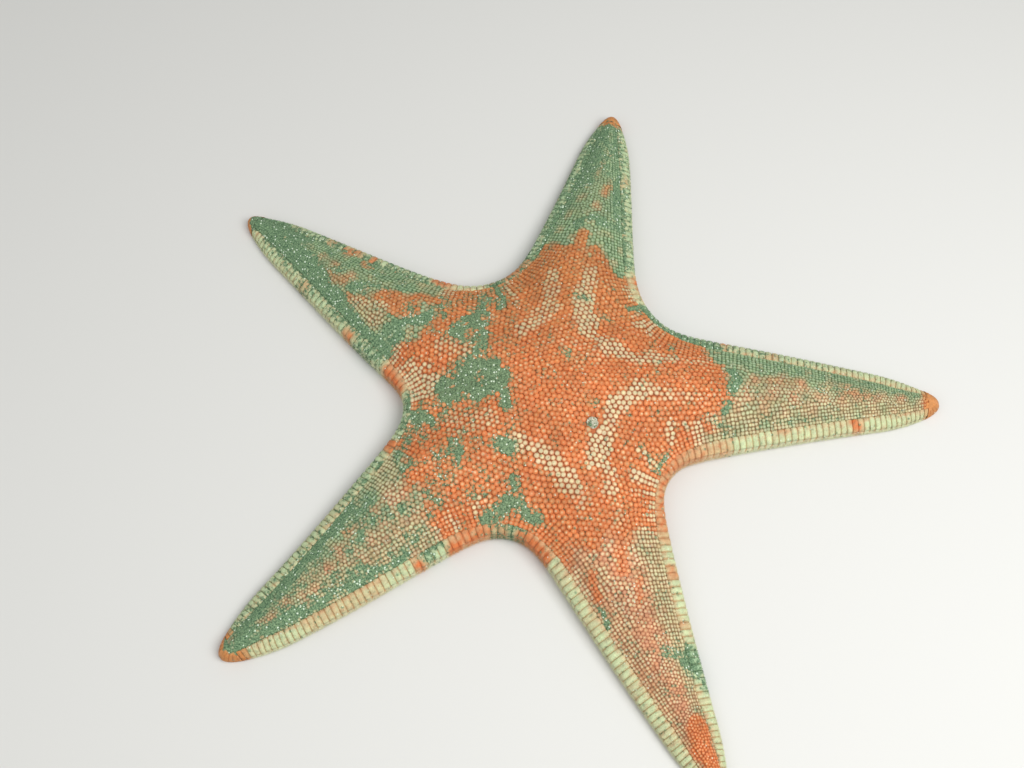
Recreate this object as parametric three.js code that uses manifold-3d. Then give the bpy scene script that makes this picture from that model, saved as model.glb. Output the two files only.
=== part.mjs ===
// A paxillate sea star with five arms, lying on its oral side, at life size.
// Millimetres, +Z up. Every shape is laid out round the centre of the mouth, and the finished
// star is then set with the middle of its bounding box's underside at the origin.
// Each arm has a frame of its own: x runs out along the arm, y to its left, z up.

import * as THREE from "three";
import { mergeVertices } from "three/addons/utils/BufferGeometryUtils.js";
import Module from "manifold-3d";

const wasm = await Module();
wasm.setup();

// ---- Driving dimensions --------------------------------------------------------------------

// The arms, counter-clockwise from above. azimuth is in degrees from +X. length runs from the
// centre of the mouth to the tip. tipHalfWidth is the half width that the straight taper would
// reach at the tip. bow and sway bend the axis to its left, as one and as two half waves.
const ARMS = [
  { name: "b", azimuth: 0.1, length: 150.4, tipHalfWidth: 7.4, bow: 1.9, sway: 0.1 },
  { name: "a", azimuth: 77.4, length: 140.5, tipHalfWidth: 6.8, bow: -1.2, sway: 0 },
  { name: "e", azimuth: 145.4, length: 148.6, tipHalfWidth: 6.3, bow: 2.4, sway: 0.8 },
  { name: "d", azimuth: 219.9, length: 148.8, tipHalfWidth: 7.2, bow: 0.6, sway: -0.6 },
  { name: "c", azimuth: 291.7, length: 154.0, tipHalfWidth: 5.3, bow: -1.4, sway: 0.1 },
];

// Distance from the centre to the margin, midway between each arm and the next one.
const PIT_RADII = [56.0, 55.4, 54.5, 55.4, 55.0];

const GAP = 0.3; // clearance between neighbouring pieces
const TAPER = 0.19; // half width lost for each millimetre of arm
const BEND_START = 20; // distance from the centre at which an arm starts to bend
const CAP_LENGTH = 24; // the stretch over which the outline rounds in to the tip
const CAP_POWER = 2.1; // roundness of that stretch, 2 being an ellipse

const CENTRE_HEIGHT = 24;
const RIDGE_AT_TIP = 5.8; // height of an arm's ridge at its tip, and its rise to the arm's root
const RIDGE_RISE = 12.2;
const SHOULDER_AT_TIP = 4.4; // height of the inner edge of the marginal plates, likewise
const SHOULDER_RISE = 5.8;
const AXIS_SLOPE = 0.12; // fall of the disc where it runs on into an arm's ridge
const CORNER_SLOPE = 0.26; // the same beside the marginal plates
const PIT_SLOPE = 0.5; // the same midway between two arms

const PLATE_LENGTH = 4.8; // greatest plan length of a marginal plate, across the margin
const PLATE_SHARE = 0.46; // and its largest share of the arm's half width
const PIT_SHORTENING = 0.3; // how much shorter the plates are midway between the arms
const SUPERO_DROP = 2.8; // fall of the upper plates from the shoulder to their outer edge
const UPPER_EDGE_INSET = 0.45; // how far the upper plates stand back from the lower ones
const FOOT_INSET = 1.4; // how far the lower plates' flat stands back from the outline

const TERMINAL_LENGTH = 5.5; // terminal plate, at the tip of each arm
const TERMINAL_HEIGHT = 6.3;
const TERMINAL_FALL = 0.55; // share of that height lost towards the tip

const GROOVE_HALF_WIDTH = 1.2; // ambulacral groove at the tip, and its growth inwards
const GROOVE_WIDENING = 0.014;
const GROOVE_DEPTH = 2.2;
const GROOVE_DEEPENING = 0.032;
const FEET_CLEARANCE = 0.45; // round the block of tube feet that fills each groove
const FEET_BOTTOM = 0.8; // height at which the drawn-in tube feet end

const MOUTH_RADIUS = 8.9; // ring of jaws
const MOUTH_BOTTOM = 0.4;
const MOUTH_TOP = 4.2;
const JAW_GAPE = 4.5; // mean radius of the opening between the jaws
const JAW_REACH = 2.1; // how far each jaw stands in from that radius

const MADREPORITE_RADIUS = 2.2;
const MADREPORITE_DISTANCE = 22.1; // from the centre
const MADREPORITE_AZIMUTH = 315.4; // in degrees from +X, between arms c and b
const MADREPORITE_DEPTH = 0.7; // of its plate below the skin
const MADREPORITE_RISE = 0.35; // of its crown above the skin

// ---- Fineness of the facets ----------------------------------------------------------------

const MARGIN_STEPS = 18; // stations along a margin, from between the arms to the tip
const CROWDING = 0.6; // how closely the stations gather at both ends
const ROOT_STATION = 3; // the station at which the disc ends and the arm starts
const DOME_STEPS = 6; // facets across the upper side of an arm
const DISC_RINGS = [0.22, 0.45, 0.68, 0.86, 1];
const FEET_STEPS = 10;
const CIRCLE_STEPS = 48;
const JAW_STEPS = 8; // points on the edge of the mouth, from one arm to the next

// ---- Colours -------------------------------------------------------------------------------

const ORANGE = 0xe2713c;
const DEEP_ORANGE = 0xd85f32;
const CREAM = 0xdcd6a4;
const PALE_CREAM = 0xe6e2c4;
const FEET_COLOUR = 0xe8c792;
const MADREPORITE_COLOUR = 0xcdd8c4;

function material(colour, roughness) {
  return new THREE.MeshStandardMaterial({ color: colour, roughness, metalness: 0, flatShading: true });
}

// ---- Outline of the arms -------------------------------------------------------------------

const { degToRad, lerp, smoothstep } = THREE.MathUtils;

// Half the angle between arm i and its neighbour on the given side: 1 is left, -1 is right.
function seamAngle(index, side) {
  const count = ARMS.length;
  const neighbour = ARMS[(index + side + count) % count];
  const turn = (side * (neighbour.azimuth - ARMS[index].azimuth) + 360) % 360;
  return degToRad(turn / 2);
}

function pitRadius(index, side) {
  const count = ARMS.length;
  return PIT_RADII[side > 0 ? index : (index - 1 + count) % count];
}

// Sideways position of an arm's axis, at x from the centre.
function axisOffset(arm, x) {
  const along = THREE.MathUtils.clamp((x - BEND_START) / (arm.length - BEND_START), 0, 1);
  return arm.bow * Math.sin(Math.PI * along) + arm.sway * Math.sin(2 * Math.PI * along);
}

// Half width of a straight arm with a rounded tip.
function taperedHalfWidth(arm, x) {
  const fromTip = arm.length - x;
  const inCap = THREE.MathUtils.clamp((CAP_LENGTH - fromTip) / CAP_LENGTH, 0, 1);
  const rounding = (1 - inCap ** CAP_POWER) ** (1 / CAP_POWER);
  return (arm.tipHalfWidth + TAPER * fromTip) * rounding;
}

// One side of one arm, from midway to the neighbouring arm (its seam) out to the tip. Its edge
// flares towards the seam and meets it squarely, so that the margin runs on into the next arm.
function armSide(index, side) {
  const arm = ARMS[index];
  const angle = seamAngle(index, side);
  const radius = pitRadius(index, side);
  const seamX = radius * Math.cos(angle);
  const unflared = (x) => taperedHalfWidth(arm, x) + side * axisOffset(arm, x);
  const small = 0.25;
  const slope = (unflared(seamX + small) - unflared(seamX - small)) / (2 * small);
  const flare = radius * Math.sin(angle) - unflared(seamX);
  const flareLength = flare / (1 / Math.tan(angle) + slope);
  const edge = (x) => unflared(x) + flare * Math.exp(-(x - seamX) / flareLength);
  return { arm, side, seamX, edge };
}

// What the margin is like at x: its outermost point, its outward normal, the plan length of the
// plates, the height of their shoulder and the share of the way back from the tip to the seam.
function marginAt(armEdge, x) {
  const { arm, side, seamX, edge } = armEdge;
  const small = 0.05;
  const slope = (edge(Math.min(x + small, arm.length)) - edge(x - small)) / (2 * small);
  const endX = arm.length - TERMINAL_LENGTH;
  const squared = smoothstep(x, endX - 2 * PLATE_LENGTH, endX);
  const normal = new THREE.Vector2(-slope * (1 - squared), side).normalize();
  const share = (arm.length - x) / (arm.length - seamX);
  const longest = Math.min(PLATE_LENGTH, PLATE_SHARE * edge(x));
  const length = longest * (1 - PIT_SHORTENING * smoothstep(share, 0.8, 1));
  const shoulder = SHOULDER_AT_TIP + SHOULDER_RISE * share;
  return { point: new THREE.Vector2(x, side * edge(x)), normal, length, shoulder, share };
}

// The stations along a margin, gathered towards the seam and the tip.
function marginStations(armEdge) {
  const endX = armEdge.arm.length - TERMINAL_LENGTH;
  return Array.from({ length: MARGIN_STEPS + 1 }, (_, step) => {
    const even = step / MARGIN_STEPS;
    const gathered = even - (CROWDING * Math.sin(2 * Math.PI * even)) / (2 * Math.PI);
    return marginAt(armEdge, lerp(armEdge.seamX, endX, gathered));
  });
}

// A point of the margin's cross-section, at a distance in from the outline and a height.
function marginPoint(station, inset, height) {
  const plan = station.point.clone().addScaledVector(station.normal, -inset);
  return new THREE.Vector3(plan.x, plan.y, height);
}

// ---- Solids from rings of points -----------------------------------------------------------

// A closed skin over rings of points. Each ring runs counter-clockwise seen from the last one.
function loft(rings) {
  const size = rings[0].length;
  const positions = rings.flat().flatMap((point) => [point.x, point.y, point.z]);
  const faces = [];
  for (let ring = 0; ring + 1 < rings.length; ring++) {
    for (let corner = 0; corner < size; corner++) {
      const next = (corner + 1) % size;
      const near = ring * size;
      const far = near + size;
      faces.push([near + corner, near + next, far + next], [near + corner, far + next, far + corner]);
    }
  }
  const flat = (ring) => ring.map((point) => new THREE.Vector2(point.y, point.z));
  const last = (rings.length - 1) * size;
  for (const [a, b, c] of THREE.ShapeUtils.triangulateShape(flat(rings[0]), [])) {
    faces.push([a, c, b]);
  }
  for (const [a, b, c] of THREE.ShapeUtils.triangulateShape(flat(rings.at(-1)), [])) {
    faces.push([last + a, last + b, last + c]);
  }
  return indexedGeometry(positions, faces.flat());
}

function indexedGeometry(positions, index) {
  const geometry = new THREE.BufferGeometry();
  geometry.setAttribute("position", new THREE.Float32BufferAttribute(positions, 3));
  geometry.setIndex(index);
  geometry.computeVertexNormals();
  return geometry;
}

function toManifold(geometry) {
  const bare = geometry.clone();
  bare.deleteAttribute("normal");
  bare.deleteAttribute("uv");
  const merged = mergeVertices(bare, 1e-4);
  const mesh = new wasm.Mesh({
    numProp: 3,
    vertProperties: new Float32Array(merged.attributes.position.array),
    triVerts: new Uint32Array(merged.index.array),
  });
  return new wasm.Manifold(mesh);
}

function fromManifold(solid) {
  const mesh = solid.getMesh();
  return indexedGeometry(mesh.vertProperties, Array.from(mesh.triVerts));
}

// ---- Marginal plates -----------------------------------------------------------------------

// A row of marginal plates, as one band from the seam to the terminal plate. profile gives the
// cross-section as [inset, height] pairs, counter-clockwise with outwards to the right.
function marginBand(stations, side, profile) {
  const rings = stations.map((station) => {
    const ring = profile(station).map(([inset, height]) => marginPoint(station, inset, height));
    return side > 0 ? ring : ring.reverse();
  });
  const along = new THREE.Vector3(side * stations[0].normal.y, -side * stations[0].normal.x, 0);
  rings[0].forEach((point) => point.addScaledVector(along, GAP / 2));
  return loft(rings);
}

function superomarginalProfile({ length, shoulder }) {
  const low = shoulder - SUPERO_DROP;
  return [
    [length, low],
    [UPPER_EDGE_INSET, low],
    [0.22 * length, shoulder - 0.52 * SUPERO_DROP],
    [0.58 * length, shoulder - 0.15 * SUPERO_DROP],
    [length, shoulder],
  ];
}

function inferomarginalProfile({ length, shoulder }) {
  const high = shoulder - SUPERO_DROP - GAP;
  return [
    [length, 0],
    [Math.min(FOOT_INSET, 0.6 * length), 0],
    [0.3, 0.2 * high],
    [0, 0.55 * high],
    [UPPER_EDGE_INSET, high],
    [length, high],
  ];
}

// ---- Ambulacral groove and tube feet -------------------------------------------------------

function grooveHalfWidth(arm, x) {
  return GROOVE_HALF_WIDTH + GROOVE_WIDENING * (arm.length - x);
}

function grooveDepth(arm, x) {
  return GROOVE_DEPTH + GROOVE_DEEPENING * (arm.length - x);
}

// The groove's cross-section as [y, z] pairs, from its left edge over its roof to its right one.
function grooveProfile(arm, x) {
  const middle = axisOffset(arm, x);
  const half = grooveHalfWidth(arm, x);
  const depth = grooveDepth(arm, x);
  return [
    [middle - half, 0],
    [middle - 0.8 * half, 0.6 * depth],
    [middle, depth],
    [middle + 0.8 * half, 0.6 * depth],
    [middle + half, 0],
  ];
}

// What the groove takes out of the disc, from inside the mouth to just past the arm's root.
function grooveCutter(arm, startX, endX) {
  const below = -1;
  const steps = 6;
  const rings = Array.from({ length: steps + 1 }, (_, step) => {
    const x = lerp(startX, endX, step / steps);
    const walls = grooveProfile(arm, x).reverse();
    const [rightY] = walls.at(-1);
    const [leftY] = walls[0];
    const outline = [[rightY, below], [leftY, below], ...walls];
    return outline.map(([y, z]) => new THREE.Vector3(x, y, z));
  });
  return loft(rings);
}

// The two rows of drawn-in tube feet that line a groove.
function tubeFeet(arm) {
  const startX = MOUTH_RADIUS + 2 * GAP;
  const endX = arm.length - TERMINAL_LENGTH - 2 * GAP;
  const rings = Array.from({ length: FEET_STEPS + 1 }, (_, step) => {
    const x = lerp(startX, endX, step / FEET_STEPS);
    const middle = axisOffset(arm, x);
    const half = grooveHalfWidth(arm, x) - FEET_CLEARANCE;
    const roof = grooveDepth(arm, x) - FEET_CLEARANCE;
    const cleft = FEET_BOTTOM + 0.2 * roof;
    const outline = [
      [-half, FEET_BOTTOM],
      [-0.2 * half, FEET_BOTTOM],
      [0, cleft],
      [0.2 * half, FEET_BOTTOM],
      [half, FEET_BOTTOM],
      [0.7 * half, 0.6 * roof],
      [0, roof],
      [-0.7 * half, 0.6 * roof],
    ];
    return outline.map(([y, z]) => new THREE.Vector3(x, middle + y, z));
  });
  return loft(rings);
}

// ---- Arms ----------------------------------------------------------------------------------

// The points across the upper side of an arm at one station, from its right shoulder to its
// left one, inside the marginal plates.
function domeRow(arm, left, right) {
  const leftFoot = marginPoint(left, left.length + GAP, left.shoulder);
  const rightFoot = marginPoint(right, right.length + GAP, right.shoulder);
  const axisX = (leftFoot.x + rightFoot.x) / 2;
  const ridge = RIDGE_AT_TIP + (RIDGE_RISE * (left.share + right.share)) / 2;
  const crest = new THREE.Vector3(axisX, axisOffset(arm, axisX), ridge);
  return Array.from({ length: DOME_STEPS + 1 }, (_, step) => {
    const across = (2 * step) / DOME_STEPS - 1;
    const foot = across < 0 ? rightFoot : leftFoot;
    const point = crest.clone().lerp(foot, Math.abs(across));
    point.z = lerp(foot.z, ridge, Math.cos((Math.PI / 2) * across));
    return { point, across };
  });
}

function armBody(arm, leftStations, rightStations) {
  const rings = [];
  for (let step = ROOT_STATION; step <= MARGIN_STEPS; step++) {
    const dome = domeRow(arm, leftStations[step], rightStations[step]).map(({ point }) => point);
    const rightFoot = dome[0];
    const leftFoot = dome.at(-1);
    const axisX = dome[DOME_STEPS / 2].x;
    const groove = grooveProfile(arm, axisX).map(([y, z]) => new THREE.Vector3(axisX, y, z));
    const ring = [
      new THREE.Vector3(rightFoot.x, rightFoot.y, 0),
      ...groove,
      new THREE.Vector3(leftFoot.x, leftFoot.y, 0),
      ...dome.reverse(),
    ];
    if (step === ROOT_STATION) {
      ring.forEach((point) => (point.x += GAP));
    }
    rings.push(ring);
  }
  return loft(rings);
}

// The blunt plate at the tip, which carries the eyespot.
function terminalPlate(arm, leftEdge, rightEdge) {
  const distances = [TERMINAL_LENGTH - GAP, 4.2, 3, 2, 1.1, 0.5, 0.12];
  const rings = distances.map((fromTip) => {
    const x = arm.length - fromTip;
    const left = leftEdge.edge(x);
    const right = rightEdge.edge(x);
    const half = (left + right) / 2;
    const middle = (left - right) / 2;
    const height = TERMINAL_HEIGHT * (1 - TERMINAL_FALL * (1 - fromTip / TERMINAL_LENGTH) ** 2.2);
    const outline = [
      [-0.74, 0],
      [0.74, 0],
      [1, 0.35],
      [0.84, 0.74],
      [0.4, 0.98],
      [-0.4, 0.98],
      [-0.84, 0.74],
      [-1, 0.35],
    ];
    return outline.map(([y, z]) => new THREE.Vector3(x, middle + half * y, height * z));
  });
  return loft(rings);
}

// ---- Disc ----------------------------------------------------------------------------------

// Turns a point of an arm's frame into the star's frame.
function toStar(point, arm) {
  return point.clone().applyAxisAngle(new THREE.Vector3(0, 0, 1), degToRad(arm.azimuth));
}

// The disc's rim, counter-clockwise from the right side of the first arm. Each entry has the
// point at the top of the rim, and how fast the disc falls towards it.
function discRim(sides) {
  const rim = [];
  const besideMargin = (station, arm, step) => {
    const slope = lerp(PIT_SLOPE, CORNER_SLOPE, step / ROOT_STATION);
    rim.push({ point: toStar(marginPoint(station, station.length + GAP, station.shoulder), arm), slope });
  };
  for (const { arm, left, right } of sides) {
    for (let step = 1; step <= ROOT_STATION; step++) {
      besideMargin(right[step], arm, step);
    }
    for (const { point, across } of domeRow(arm, left[ROOT_STATION], right[ROOT_STATION]).slice(1, -1)) {
      rim.push({ point: toStar(point, arm), slope: lerp(AXIS_SLOPE, CORNER_SLOPE, across ** 2) });
    }
    for (let step = ROOT_STATION; step >= 0; step--) {
      besideMargin(left[step], arm, step);
    }
  }
  return rim;
}

// A point of the disc's upper side, on the way from its centre to a point of its rim. The height
// starts level at the centre and arrives at the rim with the rim's own slope.
function discPoint({ point, slope }, share) {
  const reach = Math.hypot(point.x, point.y);
  const centreWeight = 2 * share ** 3 - 3 * share ** 2 + 1;
  const slopeWeight = share ** 3 - share ** 2;
  const height = CENTRE_HEIGHT * centreWeight + point.z * (1 - centreWeight) - slope * reach * slopeWeight;
  return new THREE.Vector3(point.x * share, point.y * share, height);
}

function discDome(rim) {
  const size = rim.length;
  const points = [new THREE.Vector3(0, 0, CENTRE_HEIGHT)];
  for (const share of DISC_RINGS) {
    points.push(...rim.map((entry) => discPoint(entry, share)));
  }
  points.push(...rim.map(({ point }) => new THREE.Vector3(point.x, point.y, 0)));
  points.push(new THREE.Vector3(0, 0, 0));
  const faces = [];
  for (let corner = 0; corner < size; corner++) {
    const next = (corner + 1) % size;
    faces.push([0, 1 + corner, 1 + next]);
    for (let ring = 0; ring < DISC_RINGS.length; ring++) {
      const near = 1 + ring * size;
      const far = near + size;
      faces.push([near + corner, far + corner, far + next], [near + corner, far + next, near + next]);
    }
    const bottom = 1 + DISC_RINGS.length * size;
    faces.push([points.length - 1, bottom + next, bottom + corner]);
  }
  return indexedGeometry(points.flatMap((point) => point.toArray()), faces.flat());
}

// Where the madreporite sits: on the way to the point of the rim that is nearest its azimuth.
function madreporiteSeat(rim) {
  const azimuth = degToRad(MADREPORITE_AZIMUTH);
  const direction = new THREE.Vector3(Math.cos(azimuth), Math.sin(azimuth), 0);
  const offLine = ({ point }) => new THREE.Vector3(point.x, point.y, 0).angleTo(direction);
  const target = rim.reduce((best, entry) => (offLine(entry) < offLine(best) ? entry : best));
  const share = MADREPORITE_DISTANCE / Math.hypot(target.point.x, target.point.y);
  const small = 0.02;
  const outwards = discPoint(target, share + small)
    .sub(discPoint(target, share - small))
    .normalize();
  const sideways = new THREE.Vector3(0, 0, 1).cross(outwards).normalize();
  const normal = outwards.clone().cross(sideways).normalize();
  const turn = new THREE.Quaternion().setFromUnitVectors(new THREE.Vector3(0, 0, 1), normal);
  return { place: discPoint(target, share), turn };
}

function madreporitePlate() {
  const profile = [
    [0, -MADREPORITE_DEPTH],
    [MADREPORITE_RADIUS, -MADREPORITE_DEPTH],
    [MADREPORITE_RADIUS, 0.2 * MADREPORITE_RISE],
    [0.8 * MADREPORITE_RADIUS, 0.7 * MADREPORITE_RISE],
    [0.4 * MADREPORITE_RADIUS, MADREPORITE_RISE],
    [0, MADREPORITE_RISE],
  ];
  return new THREE.LatheGeometry(profile.map(([radius, height]) => new THREE.Vector2(radius, height)), 20)
    .rotateX(Math.PI / 2);
}

function discBody(sides, rim, seat) {
  const seatDepth = 2 * (MADREPORITE_DEPTH + GAP);
  const seatCutter = new THREE.CylinderGeometry(
    MADREPORITE_RADIUS + GAP,
    MADREPORITE_RADIUS + GAP,
    seatDepth,
    20,
  );
  seatCutter.rotateX(Math.PI / 2).applyQuaternion(seat.turn).translate(...seat.place.toArray());
  const mouthCutter = new THREE.CylinderGeometry(
    MOUTH_RADIUS + GAP,
    MOUTH_RADIUS + GAP,
    2 * (MOUTH_TOP + GAP),
    CIRCLE_STEPS,
  );
  mouthCutter.rotateX(Math.PI / 2);
  let solid = toManifold(discDome(rim)).subtract(toManifold(seatCutter)).subtract(toManifold(mouthCutter));
  for (const { arm, left } of sides) {
    const cutter = grooveCutter(arm, MOUTH_RADIUS - 2, left[ROOT_STATION].point.x + 2);
    cutter.rotateZ(degToRad(arm.azimuth));
    solid = solid.subtract(toManifold(cutter));
  }
  return fromManifold(solid);
}

// The ring of jaws round the mouth, with one jaw pointing inwards between each two arms.
function mouthRing() {
  const shape = new THREE.Shape();
  shape.absarc(0, 0, MOUTH_RADIUS, 0, 2 * Math.PI);
  const opening = ARMS.flatMap((arm, index) =>
    Array.from({ length: JAW_STEPS }, (_, step) => {
      const share = step / JAW_STEPS;
      const angle = degToRad(arm.azimuth) + 2 * seamAngle(index, 1) * share;
      const radius = JAW_GAPE + JAW_REACH * Math.cos(2 * Math.PI * share);
      return new THREE.Vector2(radius * Math.cos(angle), radius * Math.sin(angle));
    }),
  );
  shape.holes.push(new THREE.Path(opening));
  const ring = new THREE.ExtrudeGeometry(shape, {
    depth: MOUTH_TOP - MOUTH_BOTTOM,
    bevelEnabled: false,
    curveSegments: CIRCLE_STEPS,
  });
  return ring.translate(0, 0, MOUTH_BOTTOM);
}

// ---- The star ------------------------------------------------------------------------------

function named(name, geometry, colour, roughness) {
  const mesh = new THREE.Mesh(geometry, material(colour, roughness));
  mesh.name = name;
  return mesh;
}

const star = new THREE.Group();

const sides = ARMS.map((arm, index) => {
  const leftEdge = armSide(index, 1);
  const rightEdge = armSide(index, -1);
  return { arm, leftEdge, rightEdge, left: marginStations(leftEdge), right: marginStations(rightEdge) };
});

for (const { arm, leftEdge, rightEdge, left, right } of sides) {
  const limb = new THREE.Group();
  limb.rotation.z = degToRad(arm.azimuth);
  limb.add(named(`arm_${arm.name}`, armBody(arm, left, right), ORANGE, 0.8));
  for (const [label, side, stations] of [["left", 1, left], ["right", -1, right]]) {
    const upper = marginBand(stations, side, superomarginalProfile);
    const lower = marginBand(stations, side, inferomarginalProfile);
    limb.add(named(`superomarginals_${arm.name}_${label}`, upper, CREAM, 0.75));
    limb.add(named(`inferomarginals_${arm.name}_${label}`, lower, PALE_CREAM, 0.75));
  }
  limb.add(named(`terminal_plate_${arm.name}`, terminalPlate(arm, leftEdge, rightEdge), DEEP_ORANGE, 0.7));
  limb.add(named(`tube_feet_${arm.name}`, tubeFeet(arm), FEET_COLOUR, 0.5));
  star.add(limb);
}

const rim = discRim(sides);
const seat = madreporiteSeat(rim);
star.add(named("disc", discBody(sides, rim, seat), ORANGE, 0.8));
star.add(named("mouth", mouthRing(), PALE_CREAM, 0.6));

const madreporite = named("madreporite", madreporitePlate(), MADREPORITE_COLOUR, 0.7);
madreporite.position.copy(seat.place);
madreporite.quaternion.copy(seat.turn);
star.add(madreporite);

const extent = new THREE.Box3().setFromObject(star, true);
const middle = extent.getCenter(new THREE.Vector3());
star.position.set(-middle.x, -middle.y, -extent.min.z);

export default star;
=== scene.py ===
# A paxillate sea star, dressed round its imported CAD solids.
#
# Everything is worked out in millimetres round the centre of the mouth, and moved into the
# frame, in metres, when a mesh is made. Each arm has a frame of its own, as in the CAD source:
# x runs out along the arm, y to its left, z up.

import math
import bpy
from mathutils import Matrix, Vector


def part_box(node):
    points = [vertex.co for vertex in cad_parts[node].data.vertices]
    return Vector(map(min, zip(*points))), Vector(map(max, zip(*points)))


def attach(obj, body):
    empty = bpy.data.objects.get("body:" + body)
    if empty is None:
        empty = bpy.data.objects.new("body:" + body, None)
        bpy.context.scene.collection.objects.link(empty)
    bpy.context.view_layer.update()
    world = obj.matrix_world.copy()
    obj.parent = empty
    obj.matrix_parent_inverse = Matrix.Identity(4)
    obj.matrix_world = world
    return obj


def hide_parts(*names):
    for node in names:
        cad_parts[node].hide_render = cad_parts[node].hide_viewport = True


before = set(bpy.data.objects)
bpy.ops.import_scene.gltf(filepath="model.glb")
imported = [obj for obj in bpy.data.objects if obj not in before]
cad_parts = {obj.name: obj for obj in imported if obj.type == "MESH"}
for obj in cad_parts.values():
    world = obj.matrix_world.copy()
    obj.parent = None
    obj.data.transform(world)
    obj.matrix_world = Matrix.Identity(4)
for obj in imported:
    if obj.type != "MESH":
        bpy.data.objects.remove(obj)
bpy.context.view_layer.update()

from types import SimpleNamespace

import bpy
import numpy as np
from mathutils import Vector, kdtree
from mathutils.bvhtree import BVHTree

random = np.random.default_rng(20)

MM = 0.001
mouth_low, mouth_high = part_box("mouth")
CENTRE = (np.array(mouth_low) + np.array(mouth_high)) / 2
CENTRE[2] = 0

# The star's plan, in mm round the centre of the mouth, lies between these corners.
PLAN_LOW, PLAN_HIGH = (-125, -145), (152, 142)

# ---- The star's dimensions, as in the CAD source -------------------------------------------

ARMS = [
    SimpleNamespace(name="b", azimuth=0.1, length=150.4, tip=7.4, bow=1.9, sway=0.1),
    SimpleNamespace(name="a", azimuth=77.4, length=140.5, tip=6.8, bow=-1.2, sway=0),
    SimpleNamespace(name="e", azimuth=145.4, length=148.6, tip=6.3, bow=2.4, sway=0.8),
    SimpleNamespace(name="d", azimuth=219.9, length=148.8, tip=7.2, bow=0.6, sway=-0.6),
    SimpleNamespace(name="c", azimuth=291.7, length=154.0, tip=5.3, bow=-1.4, sway=0.1),
]
PIT_RADII = [56.0, 55.4, 54.5, 55.4, 55.0]

GAP = 0.3
TAPER = 0.19
BEND_START = 20
CAP_LENGTH = 24
CAP_POWER = 2.1
CENTRE_HEIGHT = 24
RIDGE_AT_TIP, RIDGE_RISE = 5.8, 12.2
SHOULDER_AT_TIP, SHOULDER_RISE = 4.4, 5.8
AXIS_SLOPE, CORNER_SLOPE, PIT_SLOPE = 0.12, 0.26, 0.5
PLATE_LENGTH = 4.8
PLATE_SHARE = 0.46
PIT_SHORTENING = 0.3
SUPERO_DROP = 2.8
UPPER_EDGE_INSET = 0.45
FOOT_INSET = 1.4
TERMINAL_LENGTH = 5.5
TERMINAL_HEIGHT = 6.3
GROOVE_HALF_WIDTH, GROOVE_WIDENING = 1.2, 0.014
GROOVE_DEPTH, GROOVE_DEEPENING = 2.2, 0.032
MOUTH_RADIUS = 8.9
MOUTH_TOP = 4.2
JAW_GAPE = 4.5
JAW_REACH = 2.1
MADREPORITE_RADIUS = 2.2

# ---- Fineness of the skin ------------------------------------------------------------------

STEPS = 60  # stations along a margin
ROOT = 10  # the station at which the disc ends and the arm starts
CROWDING = 0.6
COLUMNS = 40  # across an arm
RINGS = 36  # from the centre of the disc to its rim
SKIN_DEPTH = 0.48  # of the skin below the solids' surface, on the disc
OUTER_SHARE = 0.72  # of that depth on the outer arms
SILT_FILL = 0.9  # share of the depth which silt fills where it lies thickest
ORAL_DEPTH = 0.8  # height of the skin's oral side over the floor


# ---- Outline and surface of the star -------------------------------------------------------

def smoothstep(value, low, high):
    share = np.clip((value - low) / (high - low), 0, 1)
    return share * share * (3 - 2 * share)


def lerp(start, end, share):
    return start + (end - start) * share


def unit(vectors):
    return vectors / np.maximum(np.linalg.norm(vectors, axis=-1, keepdims=True), 1e-9)


def run_along(line):
    """How far along a line of points each of them lies."""
    return np.concatenate([[0], np.cumsum(np.linalg.norm(np.diff(line, axis=0), axis=1))])


def nearest_tree(xy):
    tree = kdtree.KDTree(len(xy))
    for row, (x, y) in enumerate(xy):
        tree.insert((x, y, 0), row)
    tree.balance()
    return tree


def ring_faces(rings, size):
    """Triangles from point 0 to the first of some rings of points, and quads between the rings."""
    corner = np.arange(size)
    after = (corner + 1) % size
    fan = np.stack([np.zeros_like(corner), 1 + corner, 1 + after], axis=-1)
    near = 1 + (np.arange(rings - 1) * size)[:, None]
    far = near + size
    quads = np.stack([near + corner, far + corner, far + after, near + after], axis=-1)
    return fan, quads.reshape(-1, 4)


def half_angle(index, side):
    """Half the angle between an arm and the next one on that side."""
    between = side * (ARMS[(index + side) % 5].azimuth - ARMS[index].azimuth)
    return math.radians(between % 360 / 2)


def axis_offset(arm, x):
    along = np.clip((x - BEND_START) / (arm.length - BEND_START), 0, 1)
    return arm.bow * np.sin(math.pi * along) + arm.sway * np.sin(2 * math.pi * along)


def tapered_half_width(arm, x):
    from_tip = arm.length - x
    in_cap = np.clip((CAP_LENGTH - from_tip) / CAP_LENGTH, 0, 1)
    return (arm.tip + TAPER * from_tip) * (1 - in_cap ** CAP_POWER) ** (1 / CAP_POWER)


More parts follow.
